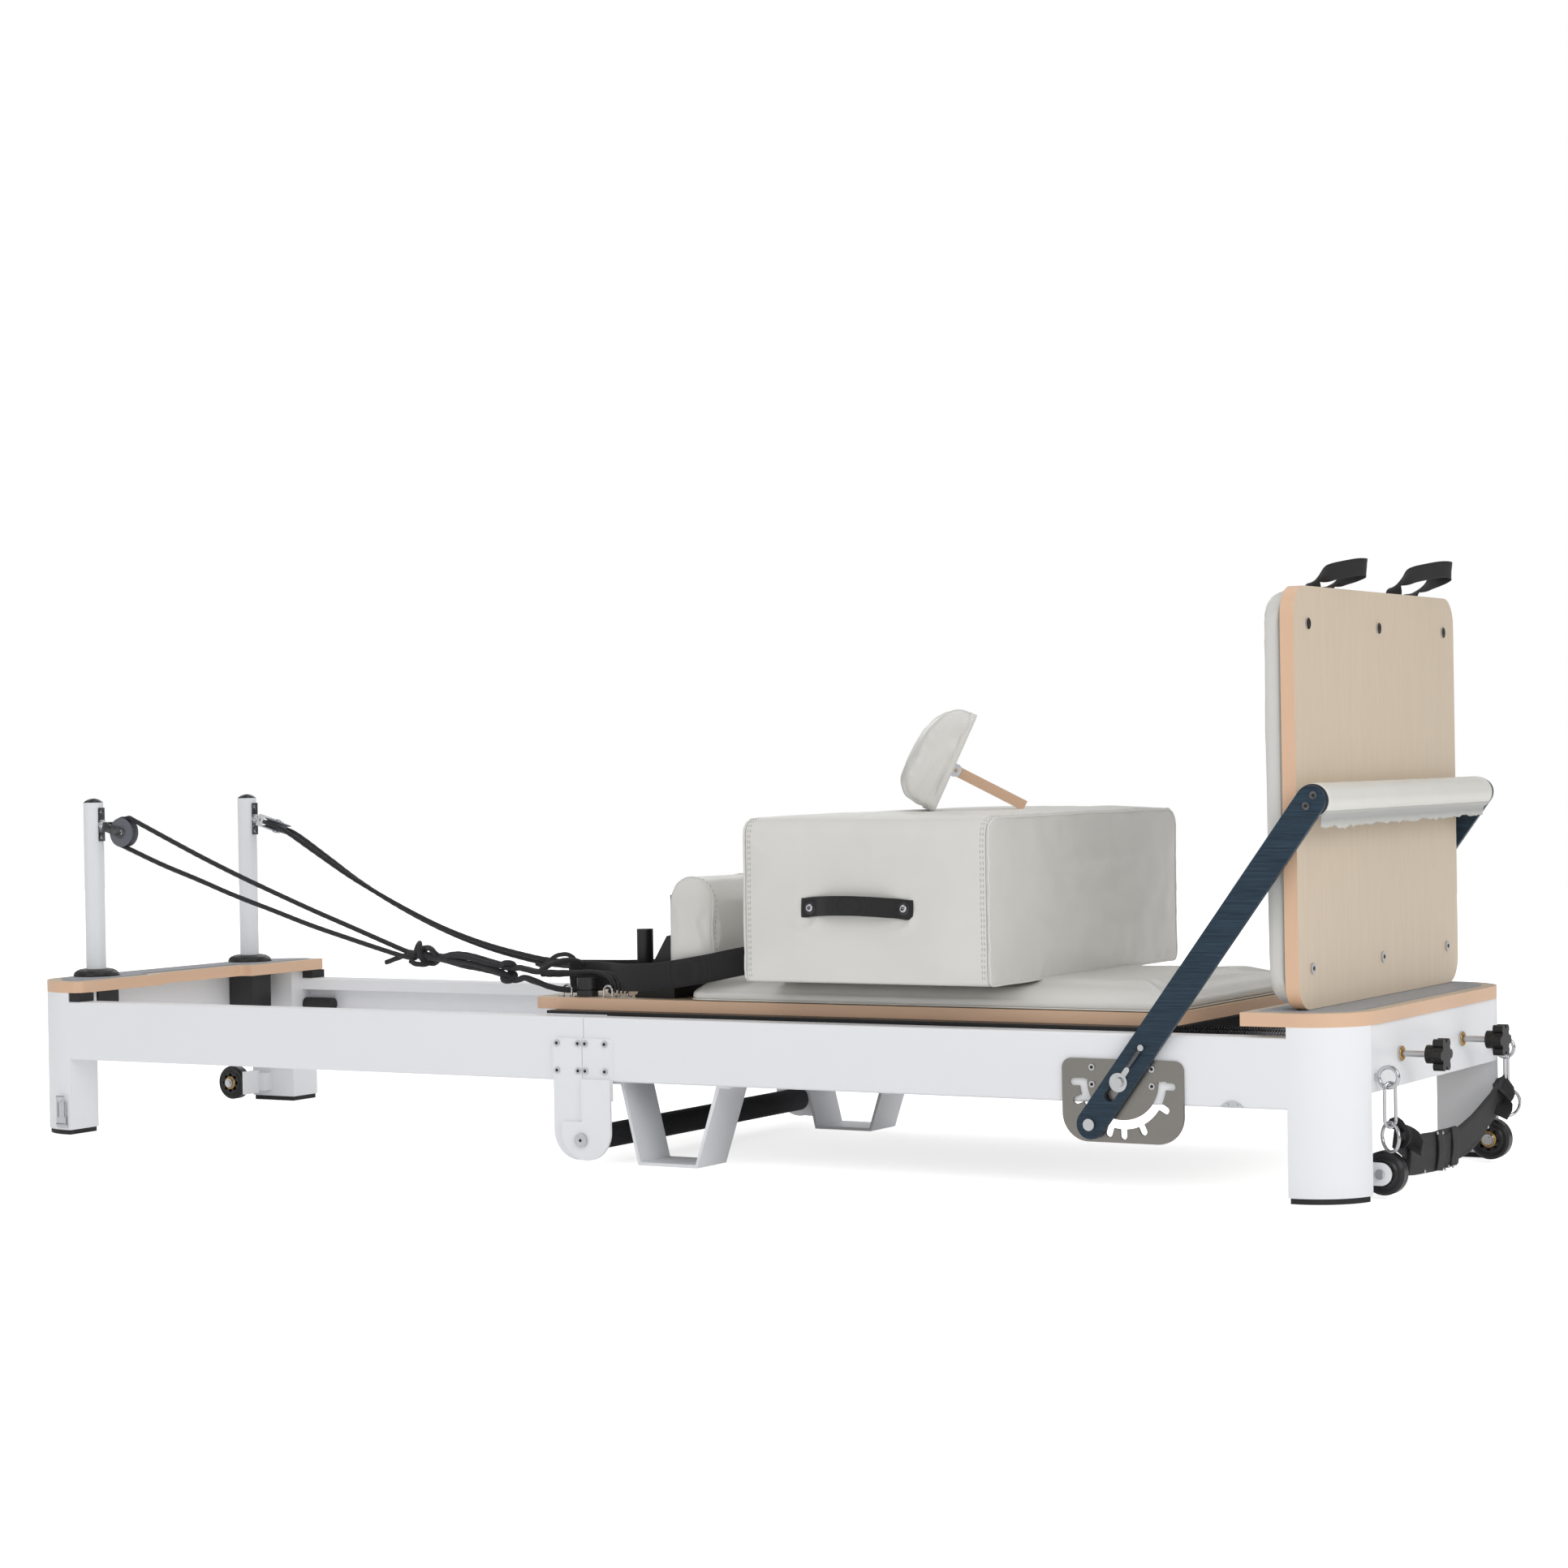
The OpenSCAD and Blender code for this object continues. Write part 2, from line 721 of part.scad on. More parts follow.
// wooden strut on a cross pin, from the lugs on the back board to the box top
module headrest_prop() {
  color(beech) on_headrest() {
    translate([prop_at, 21, prop_back]) rotate([90, 0, 0]) cylinder(r = 3, h = 42);
    translate([prop_at, 0, prop_back]) rotate([0, prop_turn, 0]) {
      rod_y(0, 0, -13, 13, 8);
      box_at([0, -13, -8], [prop_long, 13, 8]);
    }
  }
}

// ---- head half fittings --------------------------------------------------

module post_sockets() {
  color(black) both_sides() difference() {
    union() {
      box_at([-1131, post_y - 26, 176], [-1077, post_y + 26, deck_z]);
      translate([post_x, post_y, deck_top]) rotate_extrude($fn = 72)
        polygon([[0, 0], [38, 0], [39.5, 3], [38, 7], [34, 10.5], [28.5, 13], [23, 14], [0, 14]]);
    }
    rod_z(post_x, post_y, 180, 300, post_r + fit);
  }
}

module riser_posts() {
  color(white) both_sides() rod_z(post_x, post_y, 182, post_top, post_r);
  color(black) both_sides() translate([post_x, post_y, post_top]) intersection() {
    translate([0, 0, -post_r]) sphere(r = post_r * 1.42);
    cylinder(r = post_r + 0.5, h = 8);
  }
}

// plate on the post with two screws and the ball the block turns on
module pulley_base() {
  translate([post_x + post_r, post_y, 0]) {
    box_at([base_gap, -7, 495], [2.5, 7, 553]);
    for (z = [502, 546]) rod_x(2.5, 4.5, 0, z, 3.2);
    difference() {
      translate([ball[0] - post_x - post_r, 0, ball[1]]) sphere(r = 8);
      box_at([-10, -10, 500], [base_gap, 10, 550]);
    }
  }
}

// block frame: X along the block away from the ball
module on_block(side, roll) {
  translate([ball[0], side * post_y, ball[1]]) rotate([0, 16, 0]) rotate([roll, 0, 0]) children();
}

module pulley_block(side, roll) {
  color(steel) on_block(side, roll) difference() {
    union() {
      for (y = [-11, 9]) wall_xz(y, y + 2) {
        translate([12, -8]) square([38, 16]);
        translate([50, 0]) circle(r = 10);
      }
      box_at([9, -11, -7], [13, 11, 7]);
      rod_x(5.5, 10, 0, 0, 5);
      rod_y(50, 0, -12.5, 12.5, 4);
    }
    sphere(r = 8.4);
  }
}

module pulley_sheave(side, roll) {
  color([0.25, 0.25, 0.27]) on_block(side, roll) translate([50, 0, 0]) rotate([90, 0, 0])
    rotate_extrude($fn = 72) polygon([[4 + fit, -8.5], [25, -8.5], [25, -7], [19, -4.6], [19, 4.6], [25, 7],
      [25, 8.5], [4 + fit, 8.5]]);
}

// a rope run through the given points
module rope(points) {
  for (i = [1 : len(points) - 1]) rod_ab(points[i - 1], points[i], 4, $fn = 16);
  for (i = [1 : len(points) - 2]) translate(points[i]) sphere(r = 4.5, $fn = 16);
}

// ropes from the sheaves down to the carriage; the two strands of each rope end in one fitting
module ropes() {
  color(black) {
    rope([[-1022, -206, 535], [-780, -208, 436], [-533, -212, 350], [-402, -222, 312]]);
    rope([[-1036, -206, 486], [-790, -212, 404], [-533, -222, 334], [-402, -230, 302]]);
    rope([[-380, -228, 304], [-300, -236, 296], [-136, -240, 281]]);
    translate([-392, -226, 306]) sphere(r = 15, $fn = 24);
    rope([[-1033.6, 183.5, 514.8], [-1000, 184, 505.2], [-852, 196, 414], [-660, 204, 324], [-474, 214, 278],
      [-160, 232, 272]]);
    rope([[-1036.2, 228.5, 505.6], [-1002, 228, 495.8], [-852, 222, 414], [-660, 222, 324], [-474, 226, 278],
      [-160, 240, 272]]);
    rod_x(-166, -136, 236, 272, 8.5);
  }
}

// loop straps that lie round the shoulder rests
module hand_straps() {
  color(black) both_sides() translate([-120, 0, 260]) rotate([0, -6.5, 0]) linear_extrude(40) difference() {
    round_rect([0, 64], [360, 246], 20);
    round_rect([3, 67], [357, 243], 17);
  }
}

module latch(side) {
  color(steel) mirror([0, side < 0 ? 1 : 0, 0]) {
    box_at([-1080, rail_out + 2.5, 18], [-1060, rail_out + 5, 56]);
    for (x = [-1077, -1063]) rod_z(x, rail_out + 6, 30, 64, 1.5);
    rod_x(-1078.5, -1061.5, rail_out + 6, 65, 1.5);
    rod_x(-1080, -1060, rail_out + 4.5, 18, 2);
  }
}

// ---- nodes ---------------------------------------------------------------

place() foot_rails();
place() foot_end_frame();
place() foot_deck();
place() foot_rubber_pads();
place() centre_feet();
place() foot_hinge_plates();
place() quadrant_plates();
place() foot_fixings();
place() eye_bolts();
place() spring_bar();
place() fold_grip_tube();
place() wheel(foot_wheel_x, -1);  // foot_wheel_near
place() wheel(foot_wheel_x, 1);  // foot_wheel_far
place() wheel(head_wheel_x, -1);  // head_wheel_near
place() wheel(head_wheel_x, 1);  // head_wheel_far
place() star_knob(knob_y[0]);  // star_knob_near
place() star_knob(knob_y[1]);  // star_knob_far
place() strap_clips();
place() foot_strap();
place() jump_board();
place() jump_board_pad();
place() jump_board_hardware();
place() jump_board_loops();
place() footbar_pivots();
place() footbar_springs();
place() footbar_arms();
place() footbar_tube();
place() footbar_cover();
place() footbar_screws();
place() carriage_board();
place() carriage_pad();
place() carriage_frame();
place() rope_eyes();
place() strap_pegs();
place() carriage_rollers(rollers_x[0]);  // carriage_rollers_head
place() carriage_rollers(rollers_x[1]);  // carriage_rollers_foot
place() resistance_springs();
place() shoulder_pad(-1);  // shoulder_pad_near
place() shoulder_pad(1);  // shoulder_pad_far
place() shoulder_brackets();
place() sitting_box();
place() box_handles();
place() headrest_pad();
place() headrest_prop();
place() head_rails();
place() head_end_frame();
place() head_deck();
place() head_hinge_plates();
place() head_fixings();
place() head_rubber_pads();
place() post_sockets();
place() latch(-1);  // latch_near
place() latch(1);  // latch_far
place() riser_posts();
place() pulley_block(-1, 0);  // pulley_block_near
place() pulley_block(1, 78);  // pulley_block_far
place() pulley_sheave(-1, 0);  // pulley_sheave_near
place() pulley_sheave(1, 78);  // pulley_sheave_far
place() ropes();
place() hand_straps();
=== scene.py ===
import bpy
import math
from mathutils import Matrix, Vector, noise
from mathutils.bvhtree import BVHTree


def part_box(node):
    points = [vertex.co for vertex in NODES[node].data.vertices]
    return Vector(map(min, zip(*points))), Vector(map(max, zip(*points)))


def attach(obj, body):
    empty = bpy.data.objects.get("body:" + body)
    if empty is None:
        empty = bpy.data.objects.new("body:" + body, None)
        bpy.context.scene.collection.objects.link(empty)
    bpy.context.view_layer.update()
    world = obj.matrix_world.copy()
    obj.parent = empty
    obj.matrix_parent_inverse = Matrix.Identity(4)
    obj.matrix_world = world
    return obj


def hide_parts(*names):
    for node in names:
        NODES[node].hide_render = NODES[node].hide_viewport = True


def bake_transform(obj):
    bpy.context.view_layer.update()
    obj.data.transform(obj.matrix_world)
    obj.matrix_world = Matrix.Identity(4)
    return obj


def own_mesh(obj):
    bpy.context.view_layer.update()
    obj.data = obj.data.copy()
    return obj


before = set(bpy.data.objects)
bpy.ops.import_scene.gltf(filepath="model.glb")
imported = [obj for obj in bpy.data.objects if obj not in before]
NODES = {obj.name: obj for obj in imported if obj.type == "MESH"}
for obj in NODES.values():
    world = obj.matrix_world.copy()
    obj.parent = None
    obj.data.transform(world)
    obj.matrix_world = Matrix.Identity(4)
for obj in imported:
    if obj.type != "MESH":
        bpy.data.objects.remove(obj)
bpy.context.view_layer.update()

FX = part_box("foot_rails")[0].x - 0.0005     # the fold line's place along X
SIDES = ((-1, "near"), (1, "far"))
X_AXIS, Y_AXIS, Z_AXIS = Vector((1, 0, 0)), Vector((0, 1, 0)), Vector((0, 0, 1))
ABOUT_X, ABOUT_Y = (math.pi / 2, 0, 0), (0, math.pi / 2, 0)
PIVOT = (909, 159)                          # the foot bar's pivots, x and z in millimetres
ARM_TILT = math.radians(53.4)               # the foot bar's arms, up from the floor
ARM_LONG = 487                              # from pivot to roll


def mm(x, y, z):
    """A point in millimetres from the fold line, in the frame's metres."""
    return Vector((x / 1000 + FX, y / 1000, z / 1000))


def srgb(r, g, b, add=0):
    """A linear colour from 8-bit values, each raised by add."""
    def lin(c):
        c = min(255, c + add) / 255
        return c / 12.92 if c <= 0.04045 else ((c + 0.055) / 1.055) ** 2.4
    return (lin(r), lin(g), lin(b), 1.0)


def grey(v):
    return (v, v, v, 1.0)


BLACK, WHITE = grey(0.0), grey(1.0)


# ---- material helpers ----

class Nodes:
    """Short calls for building a node tree."""

    def __init__(self, tree):
        self.t = tree

    def node(self, kind, **inputs):
        n = self.t.nodes.new("ShaderNode" + kind)
        for k, v in inputs.items():
            self.put(n.inputs[k], v)
        return n

    def put(self, socket, v):
        if isinstance(v, bpy.types.NodeSocket):
            self.t.links.new(v, socket)
        else:
            socket.default_value = v

    def math(self, op, a, b=0.0):
        n = self.node("Math")
        n.operation = op
        self.put(n.inputs[0], a)
        self.put(n.inputs[1], b)
        return n.outputs[0]

    def add(self, a, b):
        return self.math("ADD", a, b)

    def mul(self, a, b):
        return self.math("MULTIPLY", a, b)


class Mat(Nodes):
    """A node material on a Principled shader."""

    def __init__(self, name, rough=0.5, metal=0.0, coat=0.0, sheen=0.0, specular=0.5):
        self.m = bpy.data.materials.new(name)
        self.m.use_nodes = True
        super().__init__(self.m.node_tree)
        self.b = self.t.nodes["Principled BSDF"]
        start = {"Roughness": rough, "Metallic": metal, "Coat Weight": coat, "Coat Roughness": 0.15,
                 "Sheen Weight": sheen, "Specular IOR Level": specular}
        for key, value in start.items():
            self.b.inputs[key].default_value = value
        self.coord = self.t.nodes.new("ShaderNodeTexCoord")

    def space(self, scale=(1, 1, 1), rot=(0, 0, 0)):
        return self.node("Mapping", Scale=scale, Rotation=rot, Vector=self.coord.outputs["Object"]).outputs[0]

    def noise(self, scale, detail=2.0, rough=0.5, vec=None):
        return self.node("TexNoise", Scale=scale, Detail=detail, Roughness=rough,
                         Vector=vec or self.coord.outputs["Object"]).outputs["Fac"]

    def voronoi(self, scale, feature="F1"):
        n = self.node("TexVoronoi", Scale=scale, Vector=self.coord.outputs["Object"])
        n.feature = feature
        return n.outputs["Distance"]

    def wave(self, scale, direction="X", vec=None):
        n = self.node("TexWave", Scale=scale, Detail=0.0, Vector=vec or self.coord.outputs["Object"])
        n.bands_direction = direction
        return n.outputs["Fac"]

    def ramp(self, fac, *stops):
        n = self.node("ValToRGB")
        self.put(n.inputs["Fac"], fac)
        e = n.color_ramp.elements
        while len(e) < len(stops):
            e.new(0.5)
        for el, (p, c) in zip(e, stops):
            el.position = p
            el.color = c
        return n.outputs["Color"]

    def mix(self, fac, a, b):
        return self.node("MixRGB", Fac=fac, Color1=a, Color2=b).outputs["Color"]

    def axis(self, which, output="Object"):
        n = self.node("SeparateXYZ", Vector=self.coord.outputs[output])
        return n.outputs["XYZ".index(which)]

    def beyond(self, which, limit):
        """1 where the place along an axis is past the limit, else 0."""
        return self.math("GREATER_THAN", self.axis(which), limit)

    def bump(self, height, strength=0.3, distance=0.001):
        n = self.node("Bump", Strength=strength, Distance=distance, Height=height)
        old = self.b.inputs["Normal"].links
        if old:
            self.put(n.inputs["Normal"], old[0].from_socket)
        self.put(self.b.inputs["Normal"], n.outputs[0])

    def color(self, c):
        self.put(self.b.inputs["Base Color"], c)

    def colour_so_far(self):
        return self.b.inputs["Base Color"].links[0].from_socket

    def rough(self, c):
        self.put(self.b.inputs["Roughness"], c)

    def rough_between(self, fac, low, high):
        self.rough(self.ramp(fac, (0.3, grey(low)), (0.7, grey(high))))

    def edge_highlight(self, colour, edge, amount):
        """Lightens convex edges a little, from the pointiness of the surface, as a painted highlight."""
        f = self.ramp(self.node("NewGeometry").outputs["Pointiness"], (0.52, BLACK), (0.6, WHITE))
        return self.mix(self.mul(f, amount), colour, edge)


def enamel():
    m = Mat("enamel", rough=0.36, coat=0.25)
    c = m.mix(m.noise(6, 3), srgb(236, 238, 243), srgb(242, 244, 248))
    # painted highlight: convex edges of the enamel are lightened towards white
    m.color(m.edge_highlight(c, srgb(250, 250, 252), 0.5))
    m.rough_between(m.noise(40, 3), 0.30, 0.42)
    m.bump(m.noise(900, 2), 0.06, 0.0004)
    return m


EDGE_BAND = srgb(234, 195, 163)


def wood(name, light, dark, edge=EDGE_BAND, along="X", split="Z"):
    """Fine straight grain along one axis; edge-banded where the surface faces away from split."""
    m = Mat(name, rough=0.42, coat=0.15)
    s = {"X": (2.2, 55, 55), "Z": (55, 55, 2.2)}[along]
    v = m.space(s)
    fine = m.noise(9, 6, 0.65, v)
    broad = m.noise(2.2, 3, 0.5, v)
    pores = m.noise(30, 2, 0.6, m.space((s[0] * 4, s[1] * 3, s[2] * 3)))
    c = m.mix(fine, light, dark)
    c = m.mix(m.mul(broad, 0.6), c, dark)
    c = m.mix(m.ramp(pores, (0.62, BLACK), (0.72, grey(0.35))), c, dark)
    facing = m.math("GREATER_THAN", m.math("ABSOLUTE", m.axis(split, "Normal")), 0.6)
    band = m.mix(fine, edge, tuple(x * 0.93 for x in edge[:3]) + (1,))
    m.color(m.mix(facing, band, c))
    m.bump(fine, 0.10, 0.0003)
    m.bump(pores, 0.08, 0.0002)
    return m


def deck_wood():
    """Beech board with a grey ribbed mat on top."""
    m = wood("deck", srgb(226, 210, 190), srgb(205, 184, 160), srgb(233, 194, 162))
    is_mat = m.beyond("Z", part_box("foot_deck")[1].z - 0.00145)
    weave = m.add(m.wave(420), m.wave(420, "Y"))
    mat_grey = m.ramp(m.mul(weave, 0.5), (0.2, srgb(150, 153, 160)), (0.8, srgb(182, 185, 191)))
    m.color(m.mix(is_mat, m.colour_so_far(), mat_grey))
    m.rough(m.add(m.mul(is_mat, 0.38), 0.42))
    m.bump(m.mul(weave, is_mat), 0.25, 0.0006)
    return m


def leather(name="leather", c1=(219, 218, 213), c2=(230, 229, 225)):
    m = Mat(name, rough=0.40, coat=0.15)
    m.color(m.mix(m.noise(9, 3), srgb(*c1), srgb(*c2)))
    m.rough_between(m.noise(60, 4), 0.29, 0.42)
    m.bump(m.ramp(m.voronoi(1500, "DISTANCE_TO_EDGE"), (0.0, BLACK), (0.25, WHITE)), 0.12, 0.00025)
    m.bump(m.noise(2600, 2), 0.06, 0.0002)
    m.bump(m.noise(24, 3), 0.10, 0.0012)
    return m


def thread():
    m = Mat("thread", rough=0.7, sheen=0.3)
    # painted shade: the thread is darker than its own light grey, so the stitch rows carry the shade along
    # their creases
    m.color(m.mix(m.wave(900), srgb(168, 167, 162), srgb(196, 195, 190)))
    m.bump(m.wave(1600, "DIAGONAL"), 0.4, 0.0002)
    return m


def webbing(name, base, high):
    m = Mat(name, rough=0.70, sheen=0.12)
    w = m.add(m.add(m.wave(620, "X"), m.wave(620, "Z")), m.wave(620, "Y"))
    w = m.mul(w, 0.333)
    m.color(m.ramp(w, (0.3, srgb(*base)), (0.75, srgb(*high))))
    m.bump(w, 0.5, 0.0005)
    m.bump(m.noise(150, 3), 0.15, 0.0008)
    return m


def braid():
    m = Mat("braid", rough=0.68, sheen=0.12)
    v = m.space(rot=(0.6, 0.6, 0.6))
    w = m.mul(m.add(m.wave(420, "X", v), m.wave(420, "Y", v)), 0.5)
    m.color(m.ramp(w, (0.25, srgb(18, 18, 20)), (0.8, srgb(48, 48, 53))))
    m.bump(w, 0.6, 0.0006)
    return m


def rubber(name, base, rough):
    m = Mat(name, rough=rough)
    m.color(m.mix(m.noise(30, 4), srgb(*base), srgb(*base, add=16)))
    m.bump(m.noise(700, 3), 0.2, 0.0004)
    return m


def foam():
    m = Mat("foam", rough=0.85)
    m.color(m.mix(m.noise(220, 4), srgb(28, 28, 31), srgb(52, 52, 56)))
    m.bump(m.voronoi(900), 0.5, 0.0006)
    return m


def plastic(name, base, rough):
    m = Mat(name, rough=rough, coat=0.1)
    c = m.mix(m.noise(12, 2), srgb(*base), srgb(*base, add=10))
    # painted highlight: convex edges of the plastic are lightened towards grey
    m.color(m.edge_highlight(c, srgb(*base, add=30), 0.25))
    m.bump(m.noise(1200, 2), 0.08, 0.0003)
    return m


def metal(name, base, rough):
    m = Mat(name, rough=rough, metal=1.0)
    m.color(m.mix(m.noise(50, 3), srgb(*base), srgb(*base, add=18)))
    m.rough_between(m.noise(120, 4), rough * 0.7, rough * 1.3)
    m.bump(m.noise(300, 2), 0.04, 0.0002)
    return m


def brushed_steel():
    m = Mat("stainless", rough=0.34, metal=1.0)
    g = m.noise(14, 4, 0.6, m.space((3, 60, 260)))
    m.color(m.mix(g, srgb(142, 139, 134), srgb(164, 161, 155)))
    m.rough_between(g, 0.272, 0.442)
    m.bump(g, 0.12, 0.0002)
    return m


def arm_finish():
    """Brushed steel under a blue-grey tint, scratched along the arm."""
    m = Mat("arm_finish", rough=0.34, specular=0.35)
    g = m.noise(6, 5, 0.65, m.space((3, 40, 260), (0, ARM_TILT, 0)))
    m.color(m.mix(m.ramp(g, (0.35, BLACK), (0.68, WHITE)), srgb(16, 34, 48), srgb(52, 76, 94)))
    m.rough_between(g, 0.28, 0.46)
    m.bump(g, 0.25, 0.0003)
    return m


def post_enamel():
    """The riser posts' enamel, with a black cap on top."""
    m = enamel()
    cap = m.beyond("Z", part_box("riser_posts")[1].z - 0.0071)
    m.color(m.mix(cap, m.colour_so_far(), srgb(26, 26, 28)))
    return m


def knob_material():
    """Black plastic at the knob's head and bright steel on its stem."""
    m = Mat("knob", rough=0.4)
    head = m.beyond("X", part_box("star_knob_near")[1].x - 0.0282)
    m.color(m.mix(head, srgb(205, 205, 207), srgb(24, 24, 26)))
    m.put(m.b.inputs["Metallic"], m.math("SUBTRACT", 1.0, head))
    m.bump(m.noise(900, 2), 0.1, 0.0003)
    return m


def plain(name, a, b, rough=0.6, metal=0.0, scale=60):
    m = Mat(name, rough=rough, metal=metal)
    m.color(m.mix(m.noise(scale, 3), srgb(*a), srgb(*b)))
    m.bump(m.noise(scale * 12, 2), 0.1, 0.0002)
    return m


def floor_material():
    """White floor that also glows, a lot to the camera and a little to the object."""
    m = Mat("floor", rough=0.9, specular=0.1)
    m.color(m.mix(m.noise(2, 2), grey(0.93), grey(0.96)))
    m.b.inputs["Emission Color"].default_value = WHITE
    seen = m.node("LightPath").outputs["Is Camera Ray"]
    m.put(m.b.inputs["Emission Strength"], m.add(m.mul(seen, 0.66), 0.08))
    return m


# Below SKIRT_HEM the skirt's colour first darkens with painted shade, then turns to its pale torn edge.
SKIRT_HEM = 0.532       # height in metres where the skirt's pale edge begins


def skirt_material():
    """Rough split side of the hide, grey with painted shade that deepens below SKIRT_HEM, and a pale torn
    edge.
    """
    m = Mat("skirt", rough=0.75, sheen=0.2)
    f = m.noise(180, 5, 0.7)
    below = m.mul(m.math("SUBTRACT", SKIRT_HEM, m.axis("Z")), 40)
    # painted shade: the skirt greys from 200 to 176 under the roll, then the torn edge is pale
    low = m.ramp(below, (0.0, srgb(200, 200, 197)), (0.35, srgb(176, 177, 175)), (0.9, srgb(226, 224, 216)))
    m.color(m.mix(m.mul(f, 0.4), low, srgb(160, 162, 160)))
    m.bump(f, 0.5, 0.0006)
    return m


LEATHER = leather()
LEATHER_ROLL = leather("leather_roll", (226, 225, 218), (237, 236, 230))
THREAD = thread()
WEB = webbing("webbing", (12, 12, 14), (29, 29, 33))
STRAP_LEATHER = webbing("strap_hide", (16, 16, 18), (32, 32, 36))
BRAID = braid()
PLASTIC = plastic("plastic", (24, 24, 26), 0.35)
CHROME = metal("chrome", (196, 197, 200), 0.13)
SPRING = metal("spring_wire", (134, 134, 138), 0.3)
BRASS = metal("brass", (190, 150, 84), 0.3)
WASHER = plain("washer", (58, 58, 60), (92, 92, 95), 0.35, 1.0)
# painted shade: near-black for the shade inside screw recesses
SOCKET_SHADE = plain("socket", (16, 16, 17), (30, 30, 32), 0.5)
# painted shade: grey lines for the shade in the leather's grooves and along the jump pad's edge
GROOVE_SHADE = plain("groove", (150, 149, 145), (166, 165, 161), 0.7)
SLEEVE = plain("sleeve", (28, 28, 31), (44, 44, 48), 0.42, 0.0, 200)
DARK_THREAD = plain("dark_thread", (40, 40, 44), (66, 66, 70), 0.7)
SKIRT = skirt_material()
FLOOR = floor_material()


def give(mat, names):
    for n in names.split():
        materials = NODES[n].data.materials
        materials.clear()
        materials.append(mat.m)


ENAMEL = enamel()
give(ENAMEL, "foot_rails foot_end_frame foot_hinge_plates centre_feet")
give(ENAMEL, "head_rails head_end_frame head_hinge_plates")
give(deck_wood(), "foot_deck head_deck")
give(wood("beech", srgb(226, 205, 180), srgb(206, 180, 150)), "carriage_board headrest_prop")
give(wood("oak", srgb(234, 219, 199), srgb(212, 194, 170), along="Z", split="X"), "jump_board")
give(rubber("rubber", (30, 30, 32), 0.62), "foot_rubber_pads head_rubber_pads")
give(foam(), "fold_grip_tube")
give(rubber("tyre", (22, 22, 25), 0.3), "foot_wheel_near foot_wheel_far head_wheel_near head_wheel_far")
give(PLASTIC, "post_sockets strap_pegs carriage_rollers_head carriage_rollers_foot footbar_tube")
give(plastic("sheave", (92, 94, 102), 0.4), "pulley_sheave_near pulley_sheave_far")
give(plastic("black_steel", (20, 20, 22), 0.45), "carriage_frame shoulder_brackets")
give(brushed_steel(), "quadrant_plates")
give(arm_finish(), "footbar_arms")
give(CHROME, "foot_fixings eye_bolts strap_clips jump_board_hardware footbar_pivots footbar_screws rope_eyes")
give(CHROME, "head_fixings latch_near latch_far pulley_block_near pulley_block_far")
give(SPRING, "spring_bar")
give(post_enamel(), "riser_posts")
give(knob_material(), "star_knob_near star_knob_far")


# ---- mesh helpers ----

def shade_smooth(o):
    o.data.polygons.foreach_set("use_smooth", [True] * len(o.data.polygons))


def mesh_object(name, verts, faces, mat, smooth=True):
    me = bpy.data.meshes.new(name)
    me.from_pydata([tuple(v) for v in verts], [], faces)
    me.validate()
    me.update()
    me.materials.append(mat.m)
    o = bpy.data.objects.new(name, me)
    bpy.context.collection.objects.link(o)
    if smooth:
        shade_smooth(o)
    return o


def bake(o):
    """Swaps the mesh for its evaluated form and drops the modifiers."""
    deps = bpy.context.evaluated_depsgraph_get()
    me = bpy.data.meshes.new_from_object(o.evaluated_get(deps))
    mats = [s.material for s in o.material_slots]
    o.modifiers.clear()
    old = o.data
    o.data = me
    bpy.data.meshes.remove(old)
    me.materials.clear()
    for m in mats:
        me.materials.append(m)
    shade_smooth(o)
    me.update()


def tree_of(o):
    me = o.data
    return BVHTree.FromPolygons([v.co.copy() for v in me.vertices], [tuple(p.vertices) for p in me.polygons])


def outline(a, b, r, inset=0.0, n=8):
    """Points of a rounded rectangle from corner a to corner b, pulled in by inset."""
    r = max(r - inset, 0.5)
    x0, y0, x1, y1 = a[0] + inset, a[1] + inset, b[0] - inset, b[1] - inset
    pts = []
    for cx, cy, start in ((x1 - r, y0 + r, -90), (x1 - r, y1 - r, 0), (x0 + r, y1 - r, 90),
                          (x0 + r, y0 + r, 180)):
        for k in range(n + 1):
            t = math.radians(start + 90 * k / n)
            pts.append((cx + r * math.cos(t), cy + r * math.sin(t)))
    return pts


def inset_profile(pts, d):
    """A closed outline pulled in by d along its own normals."""
    n = len(pts)
    area = sum(pts[i - 1][0] * pts[i][1] - pts[i][0] * pts[i - 1][1] for i in range(n))
    d = math.copysign(d, area)
    out = []
    for i in range(n):
        p, q, r = pts[i - 1], pts[i], pts[(i + 1) % n]
        t = Vector((r[0] - p[0], r[1] - p[1])).normalized()
        out.append((q[0] - t.y * d, q[1] + t.x * d))
    return out


def circle(c, u, w, r, n):
    """n points round c; u and w are the directions of its plane."""
    angles = [2 * math.pi * k / n for k in range(n)]
    return [c + (u * math.cos(a) + w * math.sin(a)) * r for a in angles]


def ring_faces(n, c, closed=False, base=0):
    """Faces between n rings of c points; closed joins the ends, which are capped otherwise."""
    faces = [] if closed else [[base + k for k in range(c)][::-1], [base + (n - 1) * c + k for k in range(c)]]
    for i in range(n if closed else n - 1):
        a, b = base + i * c, base + (i + 1) % n * c
        for k in range(c):
            q = (k + 1) % c
            faces.append([a + k, a + q, b + q, b + k])
    return faces


def sweep(name, rings, mat, closed=False):
    faces = ring_faces(len(rings), len(rings[0]), closed)
    return mesh_object(name, [p for ring in rings for p in ring], faces, mat)


def loft(name, rings, mat, to=mm):
    """A closed form through rings given in millimetres."""
    return sweep(name, [[to(*p) for p in ring] for ring in rings], mat)


FRAMES = 20             # of cloth pressure


